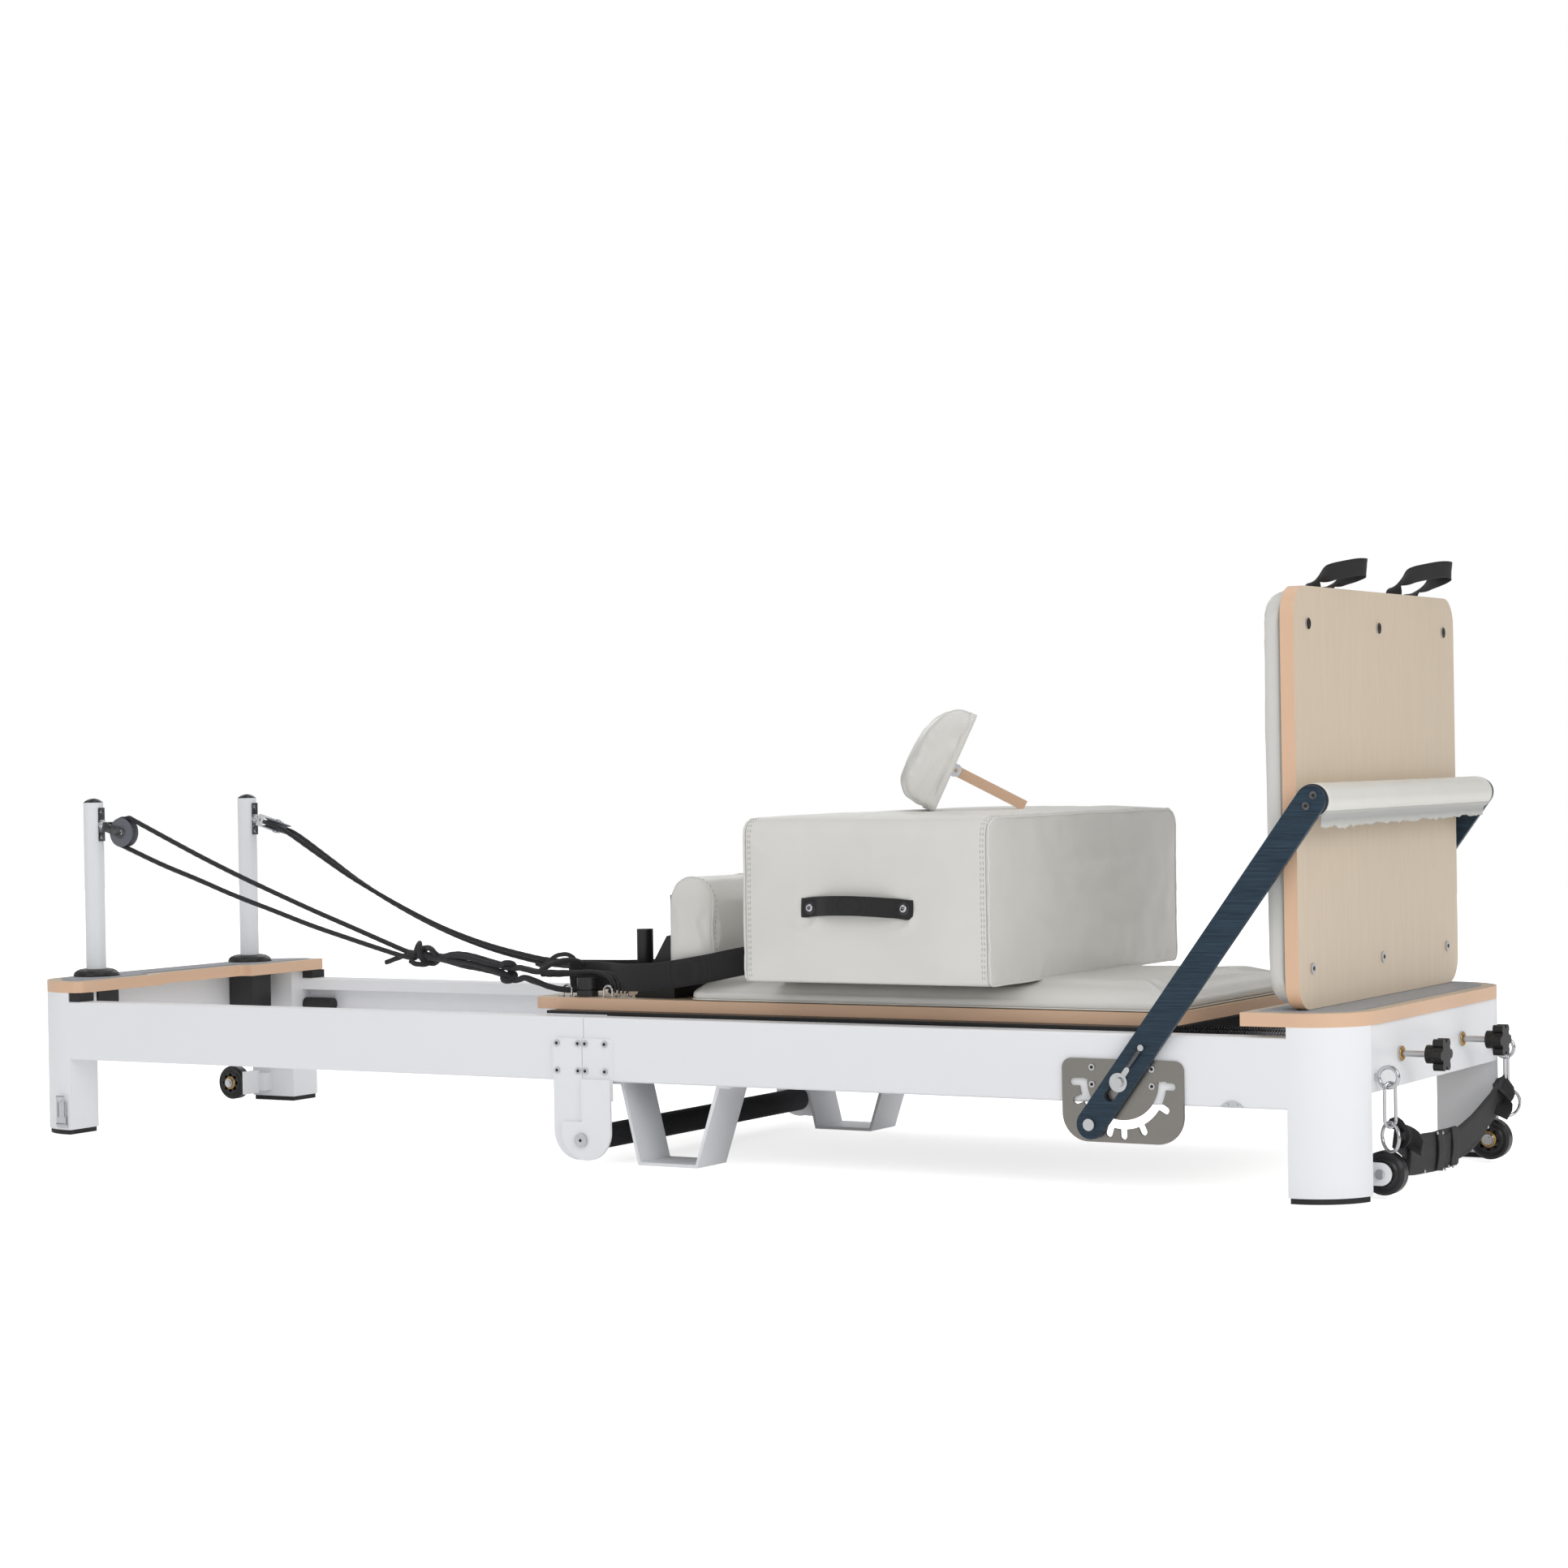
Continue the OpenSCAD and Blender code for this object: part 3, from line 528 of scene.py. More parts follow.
def soften(o, voxel, cap, hold, pressure, rounds):
    """Remeshes a form evenly, fills it with air pressure and keeps each point within cap of where it was."""
    m = o.modifiers.new("remesh", "REMESH")
    m.mode = "VOXEL"
    m.voxel_size = voxel
    bake(o)
    m = o.modifiers.new("smooth", "SMOOTH")
    m.factor = 0.5
    m.iterations = rounds
    bake(o)
    start = [v.co.copy() for v in o.data.vertices]
    g = o.vertex_groups.new(name="hold")
    g.add([v.index for v in o.data.vertices if hold(v.co)], 1.0, "REPLACE")
    c = o.modifiers.new("cloth", "CLOTH")
    cloth = c.settings
    cloth.quality = 4
    cloth.mass = 0.3
    cloth.tension_stiffness = cloth.compression_stiffness = 14
    cloth.shear_stiffness = 6
    cloth.bending_stiffness = 0.6
    cloth.use_pressure = True
    cloth.uniform_pressure_force = pressure
    cloth.effector_weights.gravity = 0
    cloth.vertex_group_mass = "hold"
    c.collision_settings.use_collision = False
    c.point_cache.frame_start = 1
    c.point_cache.frame_end = FRAMES
    for f in range(1, FRAMES + 1):
        bpy.context.scene.frame_set(f)
        bpy.context.view_layer.update()
    deps = bpy.context.evaluated_depsgraph_get()
    new = [v.co.copy() for v in o.evaluated_get(deps).data.vertices]
    o.modifiers.clear()
    o.vertex_groups.clear()
    bpy.context.scene.frame_set(1)
    for v, a, b in zip(o.data.vertices, start, new):
        d = b - a
        if d.length > cap:
            d = d * (cap / d.length)
        v.co = a + d
    o.data.update()


def dent(o, fn):
    """Moves each point along its normal by fn(point in mm from the fold line, normal)."""
    me = o.data
    normals = [v.normal.copy() for v in me.vertices]
    for v, n in zip(me.vertices, normals):
        p = v.co
        v.co = p + n * (fn((p.x - FX) * 1000, p.y * 1000, p.z * 1000, n) / 1000)
    me.update()


def subdivide(o):
    m = o.modifiers.new("sub", "SUBSURF")
    m.levels = m.render_levels = 1
    bake(o)


def resample(points, step, closed=False):
    """Points at even steps along a path."""
    pts = list(points) + ([points[0]] if closed else [])
    out = [pts[0].copy()]
    carry = 0.0
    for a, b in zip(pts, pts[1:]):
        seg = b - a
        length = seg.length
        t = step - carry
        while t <= length and length > 0:
            out.append(a + seg * (t / length))
            t += step
        carry = (carry + length) % step if length else carry
    if not closed and (out[-1] - pts[-1]).length > step * 0.3:
        out.append(pts[-1].copy())
    return out


def smooth_path(points, step=0.004, closed=False):
    """A Catmull-Rom curve through the points, sampled evenly."""
    p = list(points)
    fine = []
    n = len(p)
    spans = n if closed else n - 1
    for i in range(spans):
        p0 = p[i - 1] if (i > 0 or closed) else p[0] * 2 - p[1]
        p1, p2 = p[i], p[(i + 1) % n]
        p3 = p[(i + 2) % n] if (i + 2 < n or closed) else p[-1] * 2 - p[-2]
        for k in range(12):
            t = k / 12
            fine.append(0.5 * ((2 * p1) + (p2 - p0) * t + (2 * p0 - 5 * p1 + 4 * p2 - p3) * t * t
                               + (3 * p1 - p0 - 3 * p2 + p3) * t ** 3))
    if not closed:
        fine.append(p[-1].copy())
    return resample(fine, step, closed)


def tangents(path, closed=False):
    n = len(path)
    out = []
    for i in range(n):
        a = path[i - 1] if (i > 0 or closed) else path[0]
        b = path[(i + 1) % n] if (i + 1 < n or closed) else path[-1]
        out.append((b - a).normalized())
    return out


def tube(name, points, r, mat, closed=False, sides=10, strands=0, lay=0.055, taper=None):
    """A round cord in metres; strands gives it the twist of a laid rope."""
    groove = 0.06
    tan = tangents(points, closed)
    u = Y_AXIS if abs(tan[0].z) > 0.95 else Z_AXIS
    rings = []
    run = 0.0
    for i, (p, t) in enumerate(zip(points, tan)):
        u = (u - t * u.dot(t)).normalized()
        w = t.cross(u)
        if i:
            run += (p - points[i - 1]).length
        thick = r * (taper(i / (len(points) - 1)) if taper else 1.0)
        ring = []
        for k in range(sides):
            a = 2 * math.pi * k / sides
            q = thick
            if strands:
                twist = abs(math.cos(strands * (a + run / lay * 2 * math.pi) / 2))
                q *= 1 - groove + groove * twist * 2
            ring.append(p + (u * math.cos(a) + w * math.sin(a)) * q)
        rings.append(ring)
    return sweep(name, rings, mat, closed)


def band(name, points, wide, width, thick, mat, closed=False, crown=0.0):
    """A flat strap with rounded edges. wide gives the width direction, as one vector or one per point."""
    half, e, m = width / 2, thick / 2, 7
    top = []
    for k in range(m):
        s = -1 + 2 * k / (m - 1)
        top.append((s * (half - e * 0.6), e + crown * (1 - s * s)))
    top += [(half, e * 0.35)]
    under = [(half, -e * 0.35)] + [(x, -z) for x, z in top[-2::-1]]
    cross = top + under + [(-half, -e * 0.35), (-half, e * 0.35)]
    rings = []
    for i, (p, t) in enumerate(zip(points, tangents(points, closed))):
        w = wide[i] if isinstance(wide, list) else wide
        w = (w - t * w.dot(t)).normalized()
        nrm = t.cross(w)
        rings.append([p + w * x + nrm * z for x, z in cross])
    return sweep(name, rings, mat, closed)


def torus(name, at, major, minor, turn, mat):
    bpy.ops.mesh.primitive_torus_add(major_radius=major, minor_radius=minor, major_segments=40,
                                     minor_segments=10, location=at, rotation=turn)
    o = bpy.context.object
    o.name = name
    o.data.materials.append(mat.m)
    return o


def press(path, tree, lift=0.0):
    """Lays a path on a surface, lifted off it by lift."""
    hits = [tree.find_nearest(p) for p in path]
    return [hit[0] + hit[1] * lift for hit in hits]


def stitches(name, path, tree, length=0.0055, gap=0.0028, r=0.0006, mat=THREAD):
    """A row of short sewn threads along a path on a surface."""
    sink, lift, sides = -0.0002, 0.0003, 6
    pts = resample(path, (length + gap) / 2)
    verts, faces = [], []
    for i in range(0, len(pts) - 1, 2):
        a = pts[i]
        b = a + (pts[i + 1] - a).normalized() * length
        nrm = tree.find_nearest((a + b) / 2)[1]
        mid = press([(a + b) / 2], tree, lift)[0]
        a, b = press([a, b], tree, sink)
        w = (b - a).normalized().cross(nrm).normalized()
        faces += ring_faces(3, sides, base=len(verts))
        for p, k in ((a, 0.5), (mid, 1.0), (b, 0.5)):
            verts += circle(p, w, nrm, r * k, sides)
    return mesh_object(name, verts, faces, mat)


def dress(body, node, *objs):
    """Lets pieces ride a body; node is the CAD piece that they stand in for, or None."""
    for o in objs:
        if node:
            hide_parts(node)
        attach(o, body)


def ripple(x, y, z, scale, seed=0.0):
    return noise.noise(Vector((x * scale + seed, y * scale, z * scale)))

# ---- sitting box ----

BOX_X, BOX_Y, BOX_Z = (287, 702), 330, (285.5, 531.5)
BOX_R, FOOT_R = 27, 11                      # corner radii on top and below
SLACK = 2                                   # between the cover and the box's size
HANDLE_X, HANDLE_Z = (407, 564), 398        # the handles' screws


def box_outline(grow=0.0):
    """The end outline of the box: wide corners on top, tighter ones below."""
    y1, z1 = BOX_Y - SLACK + grow, BOX_Z[1] - SLACK + grow
    low, high = BOX_Z[0] + FOOT_R, z1 - BOX_R
    pts = []
    for cy, cz, r, start in ((y1 - FOOT_R, low, FOOT_R, -90), (y1 - BOX_R, high, BOX_R, 0),
                             (BOX_R - y1, high, BOX_R, 90), (FOOT_R - y1, low, FOOT_R, 180)):
        for k in range(11):
            t = math.radians(start + 9 * k)
            pts.append((cy + r * math.cos(t), cz + r * math.sin(t)))
    return pts


def box_hold(v):
    """True on the base and along the end seams, which the pressure leaves alone."""
    x, y, z = (v.x - FX) * 1000, abs(v.y) * 1000, v.z * 1000
    dy, dz = BOX_Y - SLACK - y, min(z - BOX_Z[0], BOX_Z[1] - SLACK - z)
    r = BOX_R if z > 400 else FOOT_R
    rim = r - math.hypot(r - dy, r - dz) if dy < r and dz < r else min(dy, dz)
    return z < BOX_Z[0] + 3 or (rim < 7 and min(abs(x - BOX_X[0]), abs(x - BOX_X[1])) < 7)


def box_shape(x, y, z, n):
    """Creases: pulled-in leather round the handles' screws, folds at the ends, a slack lower edge."""
    d = 1.1 * ripple(x, y, z, 0.012) + 0.5 * ripple(x, y, z, 0.035, 9)
    if abs(n.y) > 0.7:
        for cx in HANDLE_X:
            d -= 4.2 * math.exp(-(math.hypot(x - cx, z - HANDLE_Z) / 17) ** 2)
            dx, dz = x - cx + 12, z - HANDLE_Z + 4
            fold = math.exp(-((math.hypot(dx, dz) - 28) / 6.5) ** 2)
            d += 4.2 * fold * max(0.0, math.cos(math.atan2(dz, dx) + 1.05)) ** 2
        d -= 1.2 * math.exp(-((z - HANDLE_Z) / 26) ** 2) * (1 if 400 < x < 572 else 0)
        if x > 640:
            d += 0.8 * math.sin(z * 0.16) * math.exp(-((x - 690) / 22) ** 2)
    if abs(n.x) > 0.7:
        d += 1.6 * ripple(x, y, z, 0.02, 21)
        d -= 1.8 * math.exp(-((z - 300) / 16) ** 2) * abs(ripple(x, y, z, 0.03, 4))
    flat_base = z < BOX_Z[0] + 1.5 and n.z < -0.5
    return 0.0 if flat_base else d


rings = [[(x, y, z) for y, z in inset_profile(box_outline(), d)]
         for x, d in ((287.5, 2.5), (289, 0.6), (291, 0), (698, 0), (700, 0.6), (701.5, 2.5))]
box_cover = loft("box_cover", rings, LEATHER)
soften(box_cover, 0.006, 0.005, box_hold, 4.0, 1)
subdivide(box_cover)
dent(box_cover, box_shape)
dress("sitting_box", "sitting_box", box_cover)
tree = tree_of(box_cover)
extras = []
# Each end gets a raised seam and, a few millimetres in, a grey line of painted shade in the groove beside it.
for k, (x, inner) in enumerate(((BOX_X[0] + 1.2, 4.2), (BOX_X[1] - 1.2, -4.2))):
    rim = resample([mm(x, y, z) for y, z in inset_profile(box_outline(), 0.6)], 0.006, True)
    extras.append(tube("box_seam_%d" % k, press(rim, tree, 0.0005), 0.0019, LEATHER, True, 8))
    rim = resample([mm(x + inner, y, z) for y, z in box_outline(1)], 0.006, True)
    extras.append(tube("box_groove_%d" % k, press(rim, tree, -0.0002), 0.0006, GROOVE_SHADE, True, 6))
for k, x in enumerate((BOX_X[0] + 10, BOX_X[0] + 14, BOX_X[1] - 14, BOX_X[1] - 10)):
    line = resample([mm(x, y, z) for y, z in box_outline(2)], 0.004, True)
    line = [p for p in line if p.z * 1000 > BOX_Z[0] + 8]
    cut = max(range(len(line)), key=lambda i: (line[i] - line[i - 1]).length)
    extras.append(stitches("box_stitch_%d" % k, press(line[cut:] + line[:cut], tree, 0.0003), tree))
for k, y in enumerate((-270, 270)):
    pts = resample([mm(x, y, BOX_Z[0] + 0.4) for x in (330, 660)], 0.02)
    extras.append(band("box_foot_%d" % k, pts, Y_AXIS, 0.03, 0.0006, LEATHER))
dress("sitting_box", None, *extras)


def handle_screw(name, c, side):
    """A domed screw head with a hex recess; side is the way it faces along Y."""
    profile = ((0.0062, -0.0008), (0.0062, 0.0008), (0.0059, 0.0020), (0.0050, 0.0031), (0.0038, 0.0037),
               (0.0031, 0.0038), (0.0029, 0.0037), (0.0028, 0.0024), (0.0002, 0.0022))
    n = 24
    verts = []
    for r, h in profile:
        corners = 6 if r < 0.0030 else n
        for a in range(n):
            t = 2 * math.pi * round(a * corners / n) / corners
            verts.append(c + Vector((r * math.cos(t), side * h, r * math.sin(t))))
    open_below = ring_faces(len(profile), n)[1:]
    return mesh_object(name, verts, open_below, CHROME)


HANDLE = ((392, 1.5), (399, 2.2), (407, 2.4), (416, 3.0), (424, 6.5), (436, 13), (452, 16.5), (485, 17.5),
          (520, 16), (540, 11.5), (549, 5.5), (556, 3.0), (564, 2.4), (572, 2.2), (579, 1.5))
for side, tag in SIDES:
    pts = []
    for x, d in HANDLE:
        rise = 5.0 * max(0.0, math.sin((x - 400) / 166 * math.pi)) ** 0.7 - (x - 392) * 0.012
        pts.append(mm(x, side * (BOX_Y + d), HANDLE_Z + rise))
    handles = [band("handle_" + tag, smooth_path(pts), Z_AXIS, 0.029, 0.0032, STRAP_LEATHER, crown=0.0004)]
    for k, x in enumerate(HANDLE_X):
        c = mm(x, side * (BOX_Y + 4.4), HANDLE_Z)
        washer = torus("handle_washer_%s_%d" % (tag, k), c, 0.0074, 0.0026, ABOUT_X, WASHER)
        washer.scale = (1, 1, 0.45)
        handles += [washer, handle_screw("handle_screw_%s_%d" % (tag, k), c, side)]
    dress("sitting_box", "box_handles", *handles)


# ---- mats on the carriage ----

def mat_wrinkle(x, y, z, n):
    if n.z < 0.1 or z < 255:
        return 0.0
    return 0.7 * ripple(x, y, z, 0.011, 3) + 0.35 * ripple(x, y, z, 0.04, 6)


def carriage_mat(name, tag, corner, corner2, r, steps, voxel, cap, held, pressure):
    """A padded mat on the carriage board with a welt round its foot; steps are (inset, height) pairs."""
    rings = [[(x, y, z) for x, y in outline(corner, corner2, r, d, 10)] for d, z in steps]
    o = loft(name, rings, LEATHER)
    soften(o, voxel, cap, lambda v: v.z * 1000 < held, pressure, 2)
    if tag == "head":
        subdivide(o)
    dent(o, mat_wrinkle)
    foot = resample([mm(x, y, 251.2) for x, y in outline(corner, corner2, r, 0, 10)], 0.006, True)
    dress("carriage", "carriage_pad", o)
    dress("carriage", None, tube(tag + "_welt", foot, 0.0011, LEATHER, True, 8))


carriage_mat("mat_cover", "mat", (134.5, -249.5), (944.5, 249.5), 28, (
    (0.8, 249.6), (0, 251), (0, 259.5), (0.8, 262.5), (3, 266), (8, 270.5), (15, 275), (24, 279), (34, 281.8),
    (46, 283.4), (60, 284)), 0.006, 0.0045, 262, 3.0)
carriage_mat("head_cushion", "head", (-111.5, -61.5), (69.5, 61.5), 30, (
    (0.8, 249.6), (0, 251), (0, 259), (1.5, 264), (5, 271), (11, 279), (18, 286), (26, 291), (34, 293.5)),
    0.005, 0.004, 258, 4.0)


# ---- shoulder rests ----

def arch(d=0.0):
    """The side outline of a shoulder rest, pulled in by d."""
    pts = [(96.5, 300), (96.5, 398)]
    pts += [(135.5 - 39 * math.cos(t), 400 + 39 * math.sin(t)) for t in (math.pi * k / 16 for k in range(17))]
    pts += [(174.5, 398), (174.5, 300), (173, 294), (167, 291), (104, 291), (98, 294)]
    return inset_profile(pts, d)


PAD_ENDS = ((74.8, 9), (75.6, 5), (78, 1.6), (82, 0), (230, 0), (234, 1.6), (236.4, 5), (237.2, 9))
UPPER = 21      # the outline's points that run up and over the top
for side, tag in SIDES:
    rings = [[(x, side * y, z) for x, z in arch(d)] for y, d in PAD_ENDS]
    o = loft("shoulder_" + tag, rings, LEATHER)
    soften(o, 0.0045, 0.0035, lambda v: v.z * 1000 < 294 or (v.x - FX) * 1000 < 97, 2.5, 3)
    subdivide(o)
    dent(o, lambda x, y, z, n: 0.8 * ripple(x, y, z, 0.02, 5) + 0.3 * ripple(x, y, z, 0.06, 2))
    tree = tree_of(o)
    dress("shoulder_pad_" + tag, "shoulder_pad_" + tag, o)
    for k, (edge, row) in enumerate(((83, 89), (229, 223))):
        line = resample([mm(x, side * edge, z) for x, z in arch()[:UPPER]], 0.004)
        piping = tube("shoulder_piping_%s_%d" % (tag, k), press(line, tree, 0.0004), 0.0014, LEATHER, sides=8)
        line = resample([mm(x, side * row, z) for x, z in arch()[:UPPER]], 0.004)
        sewn = stitches("shoulder_stitch_%s_%d" % (tag, k), press(line, tree), tree)
        dress("shoulder_pad_" + tag, None, piping, sewn)


# ---- headrest ----

REST_X, REST_Z = 433, 535                   # the foot of its back board
TILT, TURN = math.radians(25), math.radians(30.6)
REST = ((0, 0), (1, 22), (2, 37), (9, 50.5), (19, 57), (31, 59.5), (58, 60.5), (87, 60.5), (113, 57),
        (140, 47),
        (154, 35.5), (160, 25), (161.5, 11.5), (160, 0))


def rest(x, y, z):
    """A point in the headrest's frame, x up the back board and z out of the front."""
    h = x * math.sin(TILT) - z * math.cos(TILT)
    return mm(REST_X + h * math.cos(TURN) - y * math.sin(TURN), h * math.sin(TURN) + y * math.cos(TURN),
              REST_Z + x * math.cos(TILT) + z * math.sin(TILT))


def rest_local(v):
    """The headrest's own x, y and z of a point."""
    dx, dy, dz = (v.x - FX) * 1000 - REST_X, v.y * 1000, v.z * 1000 - REST_Z
    h = dx * math.cos(TURN) + dy * math.sin(TURN)
    return (h * math.sin(TILT) + dz * math.cos(TILT), dy * math.cos(TURN) - dx * math.sin(TURN),
            dz * math.sin(TILT) - h * math.cos(TILT))


def rest_profile(d):
    """The pillow's side outline, shrunk by d towards its middle."""
    fine = []
    for (a, b), (c, e) in zip(REST, REST[1:]):
        for k in range(4):
            fine.append((a + (c - a) * k / 4, b + (e - b) * k / 4))
    fine.append(REST[-1])
    fine += [(160 * (1 - k / 12), 0) for k in range(1, 12)]
    cx, cz = 78, 28
    out = []
    for x, z in fine:
        s = 1 - d / math.hypot(x - cx, z - cz)
        out.append((cx + (x - cx) * s, max(cz + (z - cz) * s, 1.5)))
    return out


def pillow_folds(x, y, z, n):
    a, b, c = rest_local(mm(x, y, z))
    d = 0.6 * ripple(x, y, z, 0.025, 11)
    side = max(0.0, (abs(b) - 60) / 50)
    low = math.exp(-((a - 38) / 42) ** 2)
    d += side * low * 1.3 * math.sin(0.34 * c + 0.03 * a + 1.4 * ripple(a, b, c, 0.011, 8))
    swirl = 0.16 * math.hypot(a - 82, (c - 10) * 1.2) + 2.0 * ripple(a, b, c, 0.012, 8)
    d += side * (1 - low) * 0.9 * math.sin(swirl)
    d += 0.9 * math.exp(-((c - 12) / 10) ** 2) * math.sin(a * 0.10 + 3 * ripple(a, b, c, 0.02, 1))
    return d if c > 4 else d * 0.1


REST_ENDS = ((-109, 12), (-108, 6), (-104, 2.6), (-98, 1.5), (98, 1.5), (104, 2.6), (108, 6), (109, 12))
rings = [[(x, y, z) for x, z in rest_profile(d)] for y, d in REST_ENDS]
pillow = loft("headrest_cover", rings, LEATHER, rest)
soften(pillow, 0.005, 0.006, lambda v: rest_local(v)[2] < 8, 4.0, 3)
subdivide(pillow)
dent(pillow, pillow_folds)
tree = tree_of(pillow)


def back_outline(d=0.0):
    return outline((-1, -108), (160, 108), 12, d, 6)


BACK_RINGS = ((8.2, 0.9), (7.4, -0.4), (-1.0, -0.4), (-1.8, 0.8))
rings = [[(x, y, z) for x, y in back_outline(d)] for z, d in BACK_RINGS]
edge = resample([rest(x, y, 8.6) for x, y in back_outline()], 0.005, True)
rest_parts = [pillow, loft("headrest_back", rings, LEATHER, rest),
              tube("headrest_seam", edge, 0.0009, LEATHER, True, 8)]
for k, y in enumerate((-97, 97)):
    row = resample([rest(x, y, z) for x, z in rest_profile(1)[:52]], 0.004)
    rest_parts.append(tube("headrest_piping_%d" % k, press(row, tree, 0.0004), 0.0013, LEATHER, sides=8))
LUG = ((61.5, 0), (61.5, -12), (64, -16.5), (68, -18), (75, -18), (79, -16.5), (81.5, -12), (81.5, 0))
for k, ends in enumerate(((-21, -14.5), (14.5, 21))):
    lug = loft("headrest_lug_%d" % k, [[(x, y, z) for x, z in LUG] for y in ends], CHROME, rest)
    lug.data.polygons.foreach_set("use_smooth", [False] * len(lug.data.polygons))
    rest_parts.append(lug)
dress("headrest", "headrest_pad", *rest_parts)


# ---- jump board pad ----

def board_outline(d):
    return outline((-320.5, 264.5), (320.5, 841.5), 52, d, 12)


def pad_wrinkle(x, y, z, n):
    return 0.8 * ripple(x, y, z, 0.010, 2) + 0.3 * ripple(x, y, z, 0.035, 7) if x < 1140 else 0.0


PAD_RINGS = ((0.6, 1148.4), (0, 1147), (0, 1135), (1.0, 1128), (3.5, 1122), (8, 1118.5), (15, 1116.6),
             (27, 1115.6), (50, 1115.2))
rings = [[(x, y, z) for y, z in board_outline(d)] for d, x in PAD_RINGS]
jump_pad = loft("jump_pad", rings, LEATHER)
soften(jump_pad, 0.007, 0.004, lambda v: (v.x - FX) * 1000 > 1140, 3.0, 2)
dent(jump_pad, pad_wrinkle)
# The pad's welt is a grey line of painted shade where the pad meets the board.
edge = resample([mm(1146.8, y, z) for y, z in board_outline(-0.3)], 0.007, True)
dress("jump_board", "jump_board_pad", jump_pad, tube("jump_pad_welt", edge, 0.0009, GROOVE_SHADE, True, 8))

# Webbing loops on the top edge: their knots, and which way the webbing's width lies at each knot.
LOOPS = (
    ((1150, -203, 812), (1150, -203, 842), (1154, -195, 857), (1168, -177, 866), (1182, -156, 871),
     (1193, -138, 874), (1199, -124, 874), (1193, -114, 872), (1180, -116, 867), (1168, -130, 860),
     (1157, -148, 850), (1151, -158, 838), (1150, -159, 812)),
    ((1150, 118, 812), (1150, 118, 845), (1154, 127, 862), (1167, 150, 874), (1180, 178, 880),
     (1192, 206, 884), (1199, 226, 884), (1195, 238, 881), (1182, 238, 875), (1170, 220, 865),
     (1159, 194, 853), (1151, 178, 840), (1150, 175, 812)))
UPRIGHT, FLAT = (0.1, -0.15, 0.98), (1, 0, 0)
LOOP_WIDE = (FLAT, FLAT, (0.75, -0.3, 0.6), UPRIGHT, UPRIGHT, UPRIGHT, (0.15, -0.1, 0.98), (0.1, 0, 0.98),
             (0.2, 0.1, 0.96), (0.45, 0.2, 0.87), (0.85, 0.1, 0.5), FLAT, FLAT)
for n, places in enumerate(LOOPS):
    knots = [mm(*p) for p in places]
    pts = smooth_path(knots)
    marks = [0.0]
    for p, q in zip(knots, knots[1:]):
        marks.append(marks[-1] + (q - p).length)
    wide = []
    for i in range(len(pts)):
        at = marks[-1] * i / (len(pts) - 1)
        j = max(m for m in range(len(knots) - 1) if marks[m] <= at + 1e-9)
        f = (at - marks[j]) / (marks[j + 1] - marks[j])
        f = f * f * (3 - 2 * f)
        wide.append((Vector(LOOP_WIDE[j]) * (1 - f) + Vector(LOOP_WIDE[j + 1]) * f).normalized())
    loop = band("jump_loop_%d" % n, pts, wide, 0.025, 0.0016, WEB, crown=0.0002)
    dress("jump_board", "jump_board_loops", loop)


# ---- foot bar roll ----

ROLL = (PIVOT[0] + ARM_LONG * math.cos(ARM_TILT), PIVOT[1] + ARM_LONG * math.sin(ARM_TILT))
ROLL_R, ROLL_HALF, RINGS = 23.6, 336.4, 120
rings = []
for i in range(RINGS + 1):
    y = -ROLL_HALF + 2 * ROLL_HALF * i / RINGS
    r = ROLL_R - {0: 0.8, 1: 0.2}.get(min(i, RINGS - i), 0)
    ring = []
    for k in range(40):
        a = 2 * math.pi * k / 40
        uneven = 0.22 * ripple(math.cos(a) * 20, y, math.sin(a) * 20, 0.05, 3)
        q = r + uneven + 0.12 * math.sin(0.07 * y + 3 * a)
        ring.append((ROLL[0] + q * math.cos(a), y, ROLL[1] + q * math.sin(a)))
    rings.append(ring)
roll = loft("roll_cover", rings, LEATHER_ROLL)
verts, faces = [], []
ROWS, COLS = 9, 169
for i in range(COLS):
    y = -334 + 668 * i / (COLS - 1)
    u = i / (COLS - 1)
    rag = 4.5 * ripple(0, y, 0, 0.022, 5) + 3.0 * ripple(0, y, 0, 0.06, 1) + 1.6 * ripple(0, y, 0, 0.16, 8)
    hang = 15.5 + rag - 3.5 * u
    for j in range(ROWS):
        t = j / (ROWS - 1)
        a = math.radians(-38 - 30 * min(1, t * 2.2))
        x = ROLL[0] + 24.3 * math.cos(a)
        z = ROLL[1] + 24.3 * math.sin(a)
        f = max(0.0, (t - 0.4) / 0.6)
        z -= hang * f
        x += f * (2.0 + 5.0 * ripple(0, y, t * 30, 0.03, 2)) - 3 * f * f
        y2 = y + f * 2.5 * ripple(0, y, 5, 0.09, 4)
        verts.append(mm(x, y2, z))
for i in range(COLS - 1):
    for j in range(ROWS - 1):
        a = i * ROWS + j
        faces.append([a, a + 1, a + ROWS + 1, a + ROWS])
skirt = mesh_object("roll_skirt", verts, faces, SKIRT)
m = skirt.modifiers.new("thick", "SOLIDIFY")
m.thickness = 0.0013
bake(skirt)
dress("footbar", "footbar_cover", roll, skirt)
ARM_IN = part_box("footbar_tube")[1].y * 1000
for side, tag in SIDES:
    rings = []
    for r, inner in ((22, 3.4), (22.6, 2.9), (22.6, 0.6), (22, 0.1)):
        middle = Vector((ROLL[0], side * (ARM_IN - inner), ROLL[1]))
        rings.append(circle(middle, X_AXIS, Z_AXIS, r, 48))
    dress("footbar", None, loft("roll_cap_" + tag, rings, PLASTIC))


# ---- ropes ----

def cord(name, pts, r=0.004, strands=3, step=0.004, taper=None, mat=BRAID):
    path = smooth_path([mm(*p) for p in pts], step)
    return tube(name, path, r, mat, sides=12, strands=strands, taper=taper)


